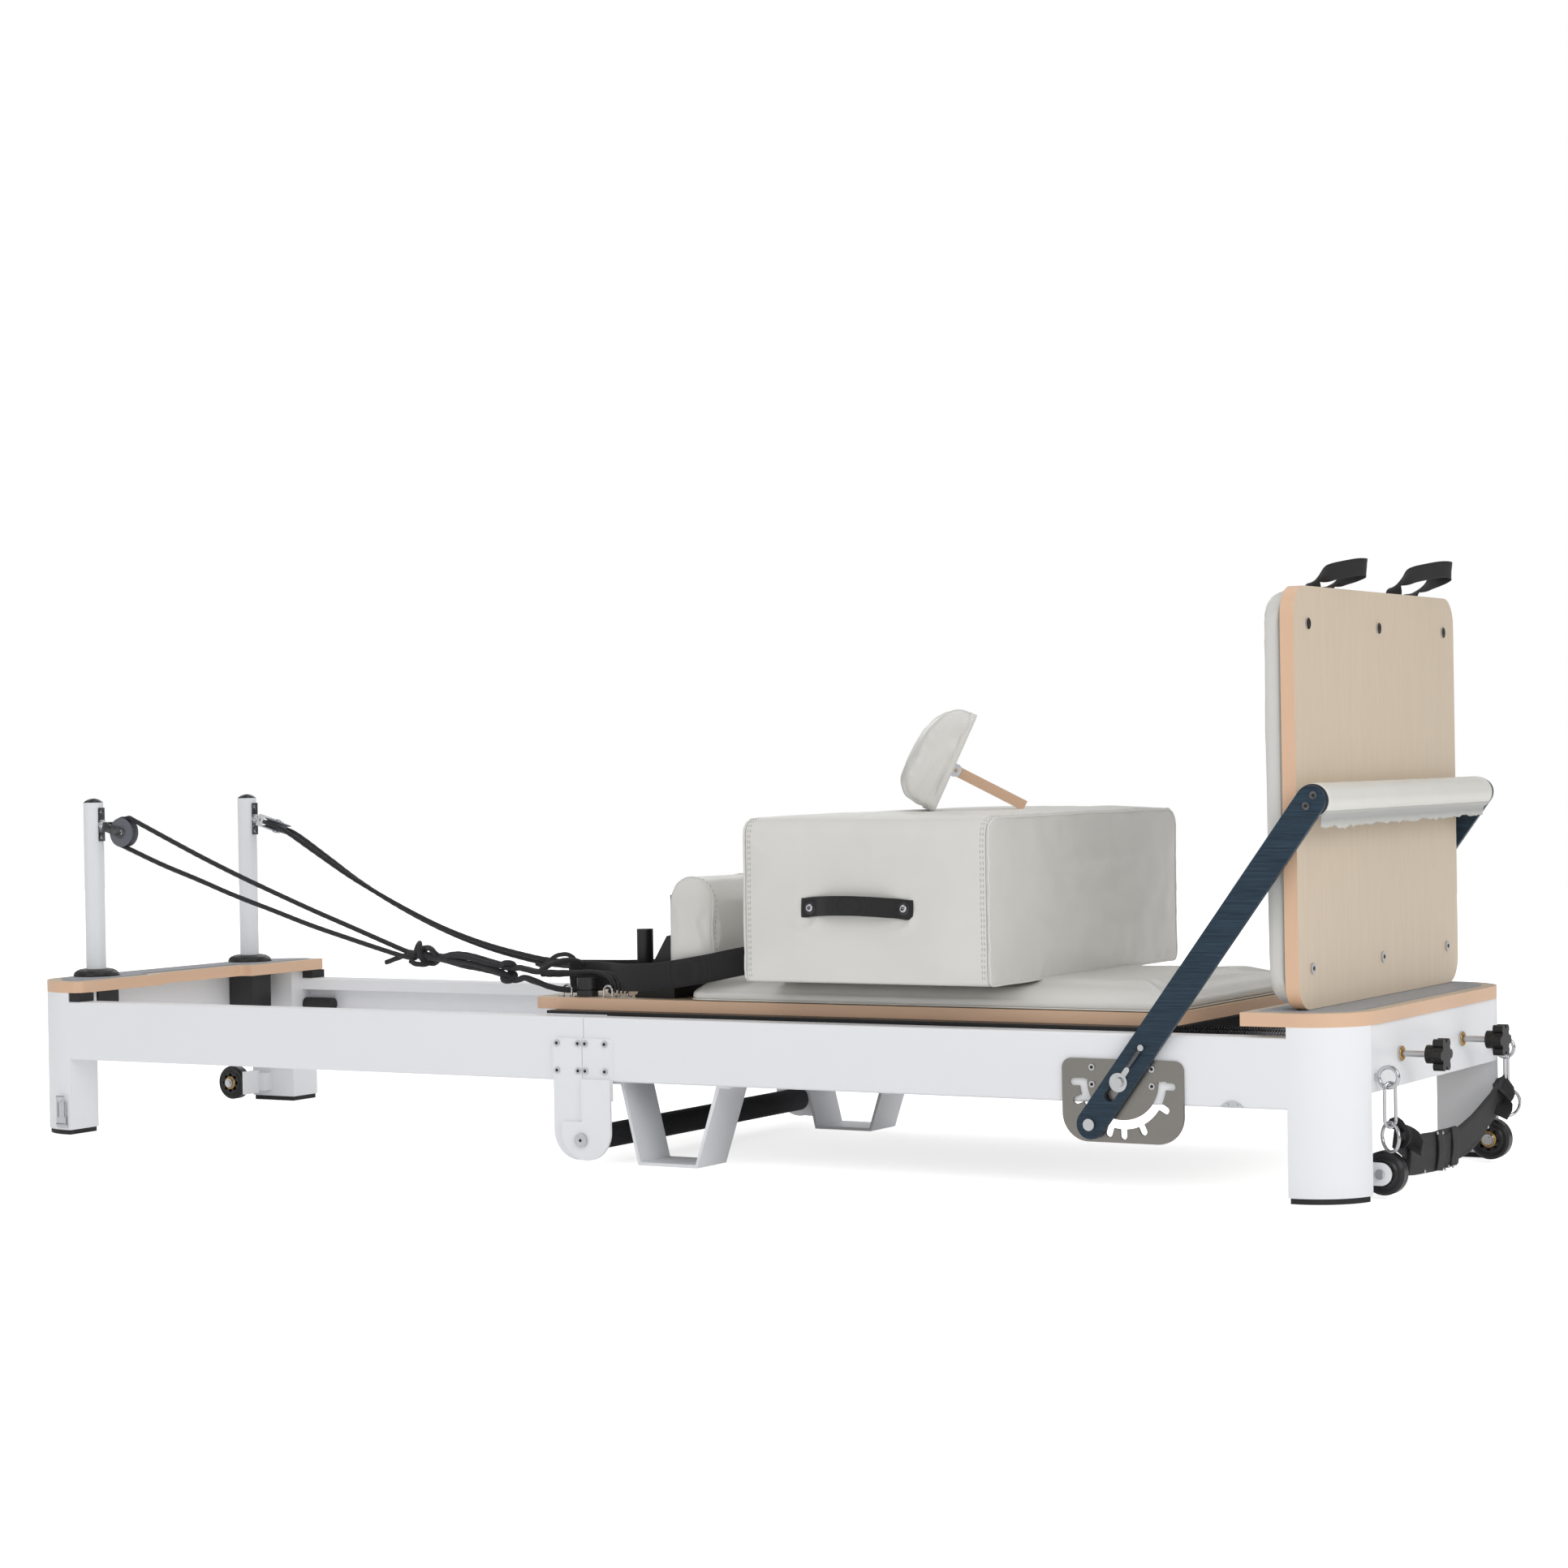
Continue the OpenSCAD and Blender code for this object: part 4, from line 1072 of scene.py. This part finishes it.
NEAR_TOP, NEAR_LOW = (-1022, -206, 535), (-1036, -206, 486)             # where the ropes leave the sheaves
FAR_TOP, FAR_LOW = (-1033.6, 183.5, 514.8), (-1036.2, 228.5, 505.6)
rope_parts = [
    cord("rope_near_top", (
        NEAR_TOP, (-940, -206, 500), (-860, -207, 467), (-780, -208, 436), (-700, -209, 407),
        (-620, -210.5, 379), (-533, -212, 350), (-470, -217, 330), (-420, -222, 315), (-395, -226, 311))),
    cord("rope_near_low", (
        NEAR_LOW, (-950, -207.5, 455), (-870, -210, 430), (-790, -212, 404), (-700, -215, 378),
        (-620, -218.5, 355), (-533, -222, 333), (-470, -226, 318), (-420, -229, 307), (-395, -230, 305))),
    cord("rope_near_tail", ((-462, -222, 296), (-436, -223, 304), (-409, -225, 311), (-390, -228, 312))),
    cord("knot_a", (
        (-408, -221, 302), (-405, -216, 316), (-396, -219, 328), (-387, -230, 325), (-382, -236, 310),
        (-377, -230, 299), (-366, -221, 296), (-355, -224, 302), (-352, -232, 311), (-358, -236, 318),
        (-370, -230, 322), (-383, -220, 318), (-394, -214, 306)), 0.0042, step=0.002),
    cord("knot_b", (
        (-402, -235, 300), (-390, -238, 296), (-376, -232, 295), (-368, -222, 300), (-366, -218, 312),
        (-372, -224, 321), (-384, -233, 320), (-396, -236, 311)), 0.0042, step=0.002),
    cord("knot_core", ((-412, -226, 311), (-380, -228, 309), (-345, -229, 306)), 0.0068, strands=2),
    cord("sleeve", (
        (-352, -229, 307), (-322, -231, 302), (-292, -233, 297)), 0.0072, strands=0, mat=SLEEVE,
        taper=lambda t: 1.0 if 0.04 < t < 0.96 else 0.9),
]
for k, (dy, top) in enumerate(((0, 0), (-6, -3), (5, -5))):
    rope_parts.append(cord("loop_top_%d" % k, (
        (-342, -230 + dy * 0.3, 308 + top * 0.3), (-312, -234 + dy * 0.5, 313 + top),
        (-280, -237 + dy, 311 + top), (-240, -240 + dy, 303 + top),
        (-208, -241 + dy * 0.5, 296 + top * 0.4), (-196, -242, 292),
        (-180, -243 + dy * 0.4, 294 + top * 0.3), (-150, -244 + dy * 0.5, 289 + top * 0.3),
        (-136, -245, 288)), 0.0042))
for k, (dy, low) in enumerate(((0, 0), (6, 4), (-5, 6))):
    rope_parts.append(cord("loop_low_%d" % k, (
        (-330, -232 + dy * 0.4, 301 + low * 0.3), (-296, -234 + dy * 0.7, 294 + low),
        (-262, -237 + dy, 290 + low), (-226, -240 + dy, 284 + low * 0.6),
        (-205, -241 + dy * 0.4, 277 + low * 0.4), (-190, -242, 273),
        (-172, -243 + dy * 0.4, 277 + low * 0.2), (-152, -244 + dy * 0.5, 272 + low * 0.3),
        (-136, -245, 269)), 0.0044))
for k, (z0, s) in enumerate(((296, 1), (278, -1))):
    rope_parts.append(cord("small_knot_%d" % k, (
        (-214, -240, z0 - 4 * s), (-210, -249, z0 + 3 * s), (-200, -250, z0 + 6 * s),
        (-193, -243, z0 + 3 * s), (-196, -234, z0 - 4 * s), (-206, -234, z0 - 6 * s), (-212, -243, z0)),
        0.0042, step=0.002))
rope_parts += [
    cord("rope_far_top", (
        FAR_TOP, (-1000, 184, 503), (-926, 189, 459), (-852, 196, 415), (-756, 200, 368), (-660, 204, 328),
        (-567, 209, 299), (-474, 214, 279), (-430, 218, 273), (-380, 222, 270), (-300, 226, 268),
        (-220, 230, 269), (-150, 235, 272), (-138, 236, 272))),
    cord("rope_far_low", (
        FAR_LOW, (-1002, 228, 492), (-926, 225, 448), (-852, 222, 405), (-756, 221, 358), (-660, 221, 319),
        (-567, 223, 290), (-474, 225, 270), (-430, 227, 264), (-380, 230, 262), (-300, 234, 262),
        (-220, 238, 265), (-150, 239, 270), (-138, 238, 272))),
    cord("far_loop", (
        (-470, 219, 266), (-452, 214, 264), (-436, 211, 274), (-418, 210, 283), (-398, 211, 284),
        (-388, 214, 277), (-392, 218, 269), (-404, 221, 266), (-418, 222, 266)), 0.0038, step=0.002),
    cord("far_knot", (
        (-182, 226, 268), (-174, 222, 277), (-162, 228, 283), (-152, 242, 280), (-156, 249, 270),
        (-168, 246, 262), (-180, 236, 261), (-178, 226, 270), (-166, 224, 278)), 0.0044, step=0.002),
]
for o in rope_parts:
    dress("head_frame", "ropes", o)
    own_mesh(o)
BLOCK_TILT, SHEAVE_R = math.radians(16), 23.4
upright = Vector((math.sin(BLOCK_TILT), 0, math.cos(BLOCK_TILT)))
out = Vector((math.cos(BLOCK_TILT), 0, -math.sin(BLOCK_TILT)))
WRAPS = ((-1, "near", 0, NEAR_TOP, NEAR_LOW), (1, "far", math.radians(78), FAR_TOP, FAR_LOW))
for side, tag, roll_a, top, low in WRAPS:
    c = Vector((-1083 + 50 * math.cos(BLOCK_TILT), side * 206, 524 - 50 * math.sin(BLOCK_TILT)))
    up = upright * math.cos(roll_a) - Y_AXIS * math.sin(roll_a)
    angles = [math.pi * k / 14 for k in range(15)]
    arc = [c + (up * math.cos(t) - out * math.sin(t)) * SHEAVE_R for t in angles]
    if (arc[0] - Vector(top)).length > (arc[-1] - Vector(top)).length:
        arc.reverse()
    wrap = cord("rope_wrap_" + tag, [top] + arc[1:-1] + [low], 0.0039, step=0.003)
    dress("pulley_" + tag, "ropes", wrap)


# ---- hand straps ----

STRAP = ((-116, 192, 281), (-96, 190, 281), (-66, 194, 281), (-34, 206, 281), (4, 230, 281), (40, 243, 282),
         (80, 250, 285), (120, 253, 290), (180, 252, 300), (214, 246, 307), (232, 228, 311), (238, 200, 313),
         (238, 150, 313), (237, 100, 312), (228, 76, 310), (205, 67, 306), (150, 65.5, 297), (90, 65.5, 288),
         (20, 66, 281), (-50, 67, 277), (-84, 74, 276), (-104, 96, 277), (-118, 130, 279), (-124, 165, 281),
         (-123, 184, 281))
STRAP_LOOPS = (
    ("strap_loop_a_", 0.0042, (
        (-138, 245, 288), (-116, 238, 287), (-92, 222, 286), (-64, 208, 286), (-38, 212, 283),
        (-22, 218, 274), (-18, 220, 264), (-26, 218, 257))),
    ("strap_loop_b_", 0.0046, (
        (-138, 245, 269), (-122, 242, 264), (-104, 234, 260), (-88, 220, 259), (-70, 206, 260),
        (-50, 205, 262))),
    ("strap_ring_", 0.0042, (
        (-140, 244, 290), (-126, 236, 299), (-110, 222, 305), (-98, 206, 304), (-96, 194, 298),
        (-104, 186, 290), (-122, 190, 282), (-136, 215, 282), (-140, 240, 284))))


def strap_lace(k):
    return ((-50 + 7 * k, 205 + 3 * k, 288), (-34 + 8 * k, 212 + 4 * k, 286), (-18 + 9 * k, 222 + 3 * k, 278),
            (-8 + 9 * k, 230 + 2 * k, 266 - k), (-10 + 7 * k, 228, 256))


def hand_strap(side, tag):
    def path(pts, step, closed=False, up=0):
        return smooth_path([mm(x, side * y, z + up) for x, y, z in pts], step, closed)

    wide = Vector((-0.10, 0, 1)).normalized()
    strap = band("hand_strap_" + tag, path(STRAP, 0.006, True), wide, 0.043, 0.003, WEB, True, 0.0002)
    tree = tree_of(strap)
    parts = [strap]
    for k, up in enumerate((-17, 17)):
        row = press(path(STRAP[:13], 0.005, up=up), tree)
        name = "hand_strap_stitch_%s_%d" % (tag, k)
        parts.append(stitches(name, row, tree, 0.004, 0.003, 0.0004, DARK_THREAD))
    for name, r, pts in STRAP_LOOPS:
        parts.append(tube(name + tag, path(pts, 0.003), r, BRAID, sides=12, strands=3))
    for k in range(4):
        name = "strap_lace_%s_%d" % (tag, k)
        parts.append(tube(name, path(strap_lace(k), 0.003), 0.0016, BRAID, sides=8, strands=2, lay=0.03))
    dress("carriage", "hand_straps", *parts)


for side, tag in SIDES:
    hand_strap(side, tag)


# ---- foot strap ----

def sling(name, x, pts, wide, width, thick, crown):
    """A strap across the foot end through (y, z) pairs; wide(t) is its width direction at t from 0 to 1."""
    path = smooth_path([mm(x, y, z) for y, z in pts], 0.005)
    wides = [wide(i / len(path)).normalized() for i in range(len(path))]
    return band(name, path, wides, width, thick, STRAP_LEATHER, crown=crown)


BACK = ((-214, 88), (-190, 78), (-150, 62), (-100, 50), (-60, 46), (0, 45), (60, 46), (110, 54), (160, 72),
        (196, 88), (214, 96))
FRONT = ((-40, 46), (-10, 48), (20, 51), (60, 58), (100, 66), (150, 80), (190, 92), (222, 103), (240, 110))
PAD = ((-172, 54), (-140, 51), (-100, 49), (-60, 47), (-35, 47), (0, 46), (30, 46))
fs = [sling("foot_strap_back", 1262.5, BACK, lambda t: Z_AXIS, 0.04, 0.003, 0.0003),
      sling("foot_strap_front", 1268, FRONT, lambda t: Vector((0, -0.2, 1)), 0.042, 0.0034, 0.0003),
      sling("foot_strap_pad", 1263, PAD, lambda t: Vector((0, -0.25 * (1 - t), 1)), 0.056, 0.008, 0.002)]
for k, (y, z) in enumerate(((-55, 47), (4, 48))):
    wrap = smooth_path([mm(1269.5, y + 3, z + 27), mm(1272.5, y, z), mm(1269.5, y - 3, z - 27)])
    wide = Vector((0, 1, -0.1)).normalized()
    fs.append(band("foot_strap_wrap_%d" % k, wrap, wide, 0.026, 0.0024, STRAP_LEATHER))
for side, y, z in ((-1, -205, 82), (1, 218, 96)):
    tab = smooth_path([mm(1258, y, z + 12), mm(1266, y, z + 19), mm(1274, y, z + 12),
                       mm(1275, y - side * 16, z - 6), mm(1272, y - side * 34, z - 20)])
    wide = Vector((0, side * 0.75, 0.66)).normalized()
    fs.append(band("foot_strap_tab_%d" % side, tab, wide, 0.036, 0.003, STRAP_LEATHER, crown=0.0002))
STUDS = ((-66, 74), (-44, 72), (-38, 20), (-22, 22), (-4, 20), (150, 60), (-140, 78), (-120, 26))
for k, (y, z) in enumerate(STUDS):
    bpy.ops.mesh.primitive_uv_sphere_add(segments=16, ring_count=8, radius=0.0026, location=mm(1271, y, z))
    s = bpy.context.object
    s.scale = (0.6, 1, 1)
    bpy.ops.object.transform_apply(location=False, rotation=False, scale=True)
    s.name = "foot_strap_stud_%d" % k
    s.data.materials.append(CHROME.m)
    shade_smooth(s)
    fs.append(s)
dress("foot_strap_set", "foot_strap", *fs)


# ---- coil springs ----

def coil(name, a, b, u, w, r, wire, turns, per_turn):
    """A helical spring from a to b; u and w are the two directions across it."""
    pts = []
    total = turns * per_turn
    for i in range(total + 1):
        angle = 2 * math.pi * turns * i / total
        pts.append(a + (b - a) * (i / total) + (u * math.cos(angle) + w * math.sin(angle)) * r)
    return tube(name, pts, wire, SPRING, sides=8)


for k, y in enumerate(range(-120, 121, 60)):
    a, b = mm(652.6, y, 190), mm(1027.4, y, 190)
    o = coil("resistance_spring_%d" % k, a, b, Y_AXIS, Z_AXIS, 0.0086, 0.0013, 84, 16)
    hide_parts("resistance_springs")
    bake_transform(o)
along = Vector((math.cos(ARM_TILT), 0, math.sin(ARM_TILT)))
across = Vector((-along.z, 0, along.x))
for side, tag in SIDES:
    base = mm(PIVOT[0], side * 352.2, PIVOT[1])
    a, b = base + along * 0.0268, base + along * 0.057
    o = coil("footbar_spring_" + tag, a, b, across, Y_AXIS, 0.0031, 0.0005, 15, 14)
    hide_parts("footbar_springs")
    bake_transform(o)


# ---- small details ----

def sockets(name, body, spots, r=0.0026):
    """The hex recesses of screws, as thin discs painted near-black for the shade inside them; spots are
    (centre, axis) pairs.
    """
    depth, sides = 0.0004, 6
    verts, faces = [], []
    for c, axis in spots:
        u = axis.orthogonal().normalized()
        w = axis.cross(u)
        faces += ring_faces(2, sides, base=len(verts))
        verts += circle(c - axis * depth, u, w, r, sides) + circle(c + axis * depth, u, w, r, sides)
    dress(body, None, mesh_object(name, verts, faces, SOCKET_SHADE, smooth=False))


spots_foot, spots_head, spots_bar = [], [], []
for s, _ in SIDES:
    out = Y_AXIS * s
    spots_foot += [(mm(x, s * 340, z), out) for x in (6, 42) for z in (144, 186)]
    spots_head += [(mm(x, s * 340, z), out) for x in (-46, -7) for z in (144, 186)]
    spots_foot += [(mm(PIVOT[0] + x, s * 338.8, PIVOT[1] + z), out) for x in (-46, 46) for z in (-5, 19)]
    spots_foot.append((mm(0, s * 347, 38), out))
    spots_bar += [(mm(PIVOT[0], s * 350.5, PIVOT[1]) + along * at, out) for at in (0.478, 0.496)]
sockets("sockets_foot", "foot_frame", spots_foot)
sockets("sockets_head", "head_frame", spots_head)
spots_board = [(mm(1171.5, y, z), X_AXIS) for y in (-272, 0, 272) for z in (318, 792)]
sockets("sockets_board", "jump_board", spots_board, 0.0032)
sockets("sockets_bar", "footbar", spots_bar)
for where, x in (("foot_wheel", 1251), ("head_wheel", -1158)):
    for side, tag in SIDES:
        for face in (-1, 1):
            for k, (r, w, mat) in enumerate(((0.0105, 0.0016, BRASS), (0.0078, 0.0012, CHROME))):
                name = "%s_bearing_%s_%d_%d" % (where, tag, face, k)
                o = torus(name, mm(x, side * 222 + face * 13.1, 35), r, w, ABOUT_X, mat)
                shade_smooth(o)
                dress("%s_%s" % (where, tag), None, o)
for k, y in enumerate((-147, 106)):
    o = torus("knob_collar_%d" % k, mm(1250, y, 193), 0.0086, 0.0022, ABOUT_Y, BRASS)
    shade_smooth(o)
    dress("foot_frame", None, o)


# ---- floor, light and camera ----

def area(name, at, to, size, power):
    d = bpy.data.lights.new(name, "AREA")
    d.shape = "DISK"
    d.size = size
    d.energy = power
    o = bpy.data.objects.new(name, d)
    bpy.context.collection.objects.link(o)
    o.location = at
    o.rotation_euler = (Vector(to) - Vector(at)).to_track_quat("-Z", "Y").to_euler()
    return o


FLOOR_HALF, FLOOR_Z = 9.0, -0.0006
corners = [(x * FLOOR_HALF, y * FLOOR_HALF, FLOOR_Z) for x, y in ((-1, -1), (1, -1), (1, 1), (-1, 1))]
floor = mesh_object("floor", corners, [[0, 1, 2, 3]], FLOOR)
lights = [area("key", (-0.8, -3.6, 3.6), (0.1, 0, 0.3), 3.0, 17),
          area("fill", (4.2, -2.2, 2.0), (0.6, 0, 0.4), 2.5, 40),
          area("top", (0.2, 0.8, 4.2), (0.1, 0, 0.3), 3.2, 18),
          area("back", (-2.0, 3.6, 2.4), (0, 0, 0.4), 2.5, 12)]

# The sky is white to the camera, SKY to surfaces, and striped in reflections so that metal shows its form.
SKY = 0.63
world = bpy.data.worlds.new("studio")
bpy.context.scene.world = world
world.use_nodes = True
w = Nodes(world.node_tree)
ray = w.node("LightPath").outputs
stripes = w.node("TexWave", Scale=0.9, Distortion=2.0)
stripes.bands_direction = "DIAGONAL"
dim = w.add(w.mul(stripes.outputs["Fac"], 0.85), -0.62)
reflected = w.add(w.mul(dim, ray["Is Glossy Ray"]), SKY)
level = w.add(w.mul(ray["Is Camera Ray"], 1.0 - SKY), reflected)
background = world.node_tree.nodes["Background"]
background.inputs["Color"].default_value = WHITE
w.put(background.inputs["Strength"], level)

yaw, pitch, roll_c = (math.radians(a) for a in (30.6345, 0.4645, -0.9724))
cam = bpy.data.cameras.new("camera")
cam.lens = 77.01
cam.sensor_width = 36
cam.clip_end = 100
camera = bpy.data.objects.new("camera", cam)
bpy.context.collection.objects.link(camera)
camera.matrix_world = (Matrix.Translation(mm(2896.3, -4606.1, 621.2)) @ Matrix.Rotation(yaw, 4, "Z")
                       @ Matrix.Rotation(math.pi / 2 - pitch, 4, "X") @ Matrix.Rotation(roll_c, 4, "Z"))
bpy.context.scene.camera = camera
bpy.context.scene.view_settings.view_transform = "Standard"
bpy.context.scene.view_settings.exposure = 0.0
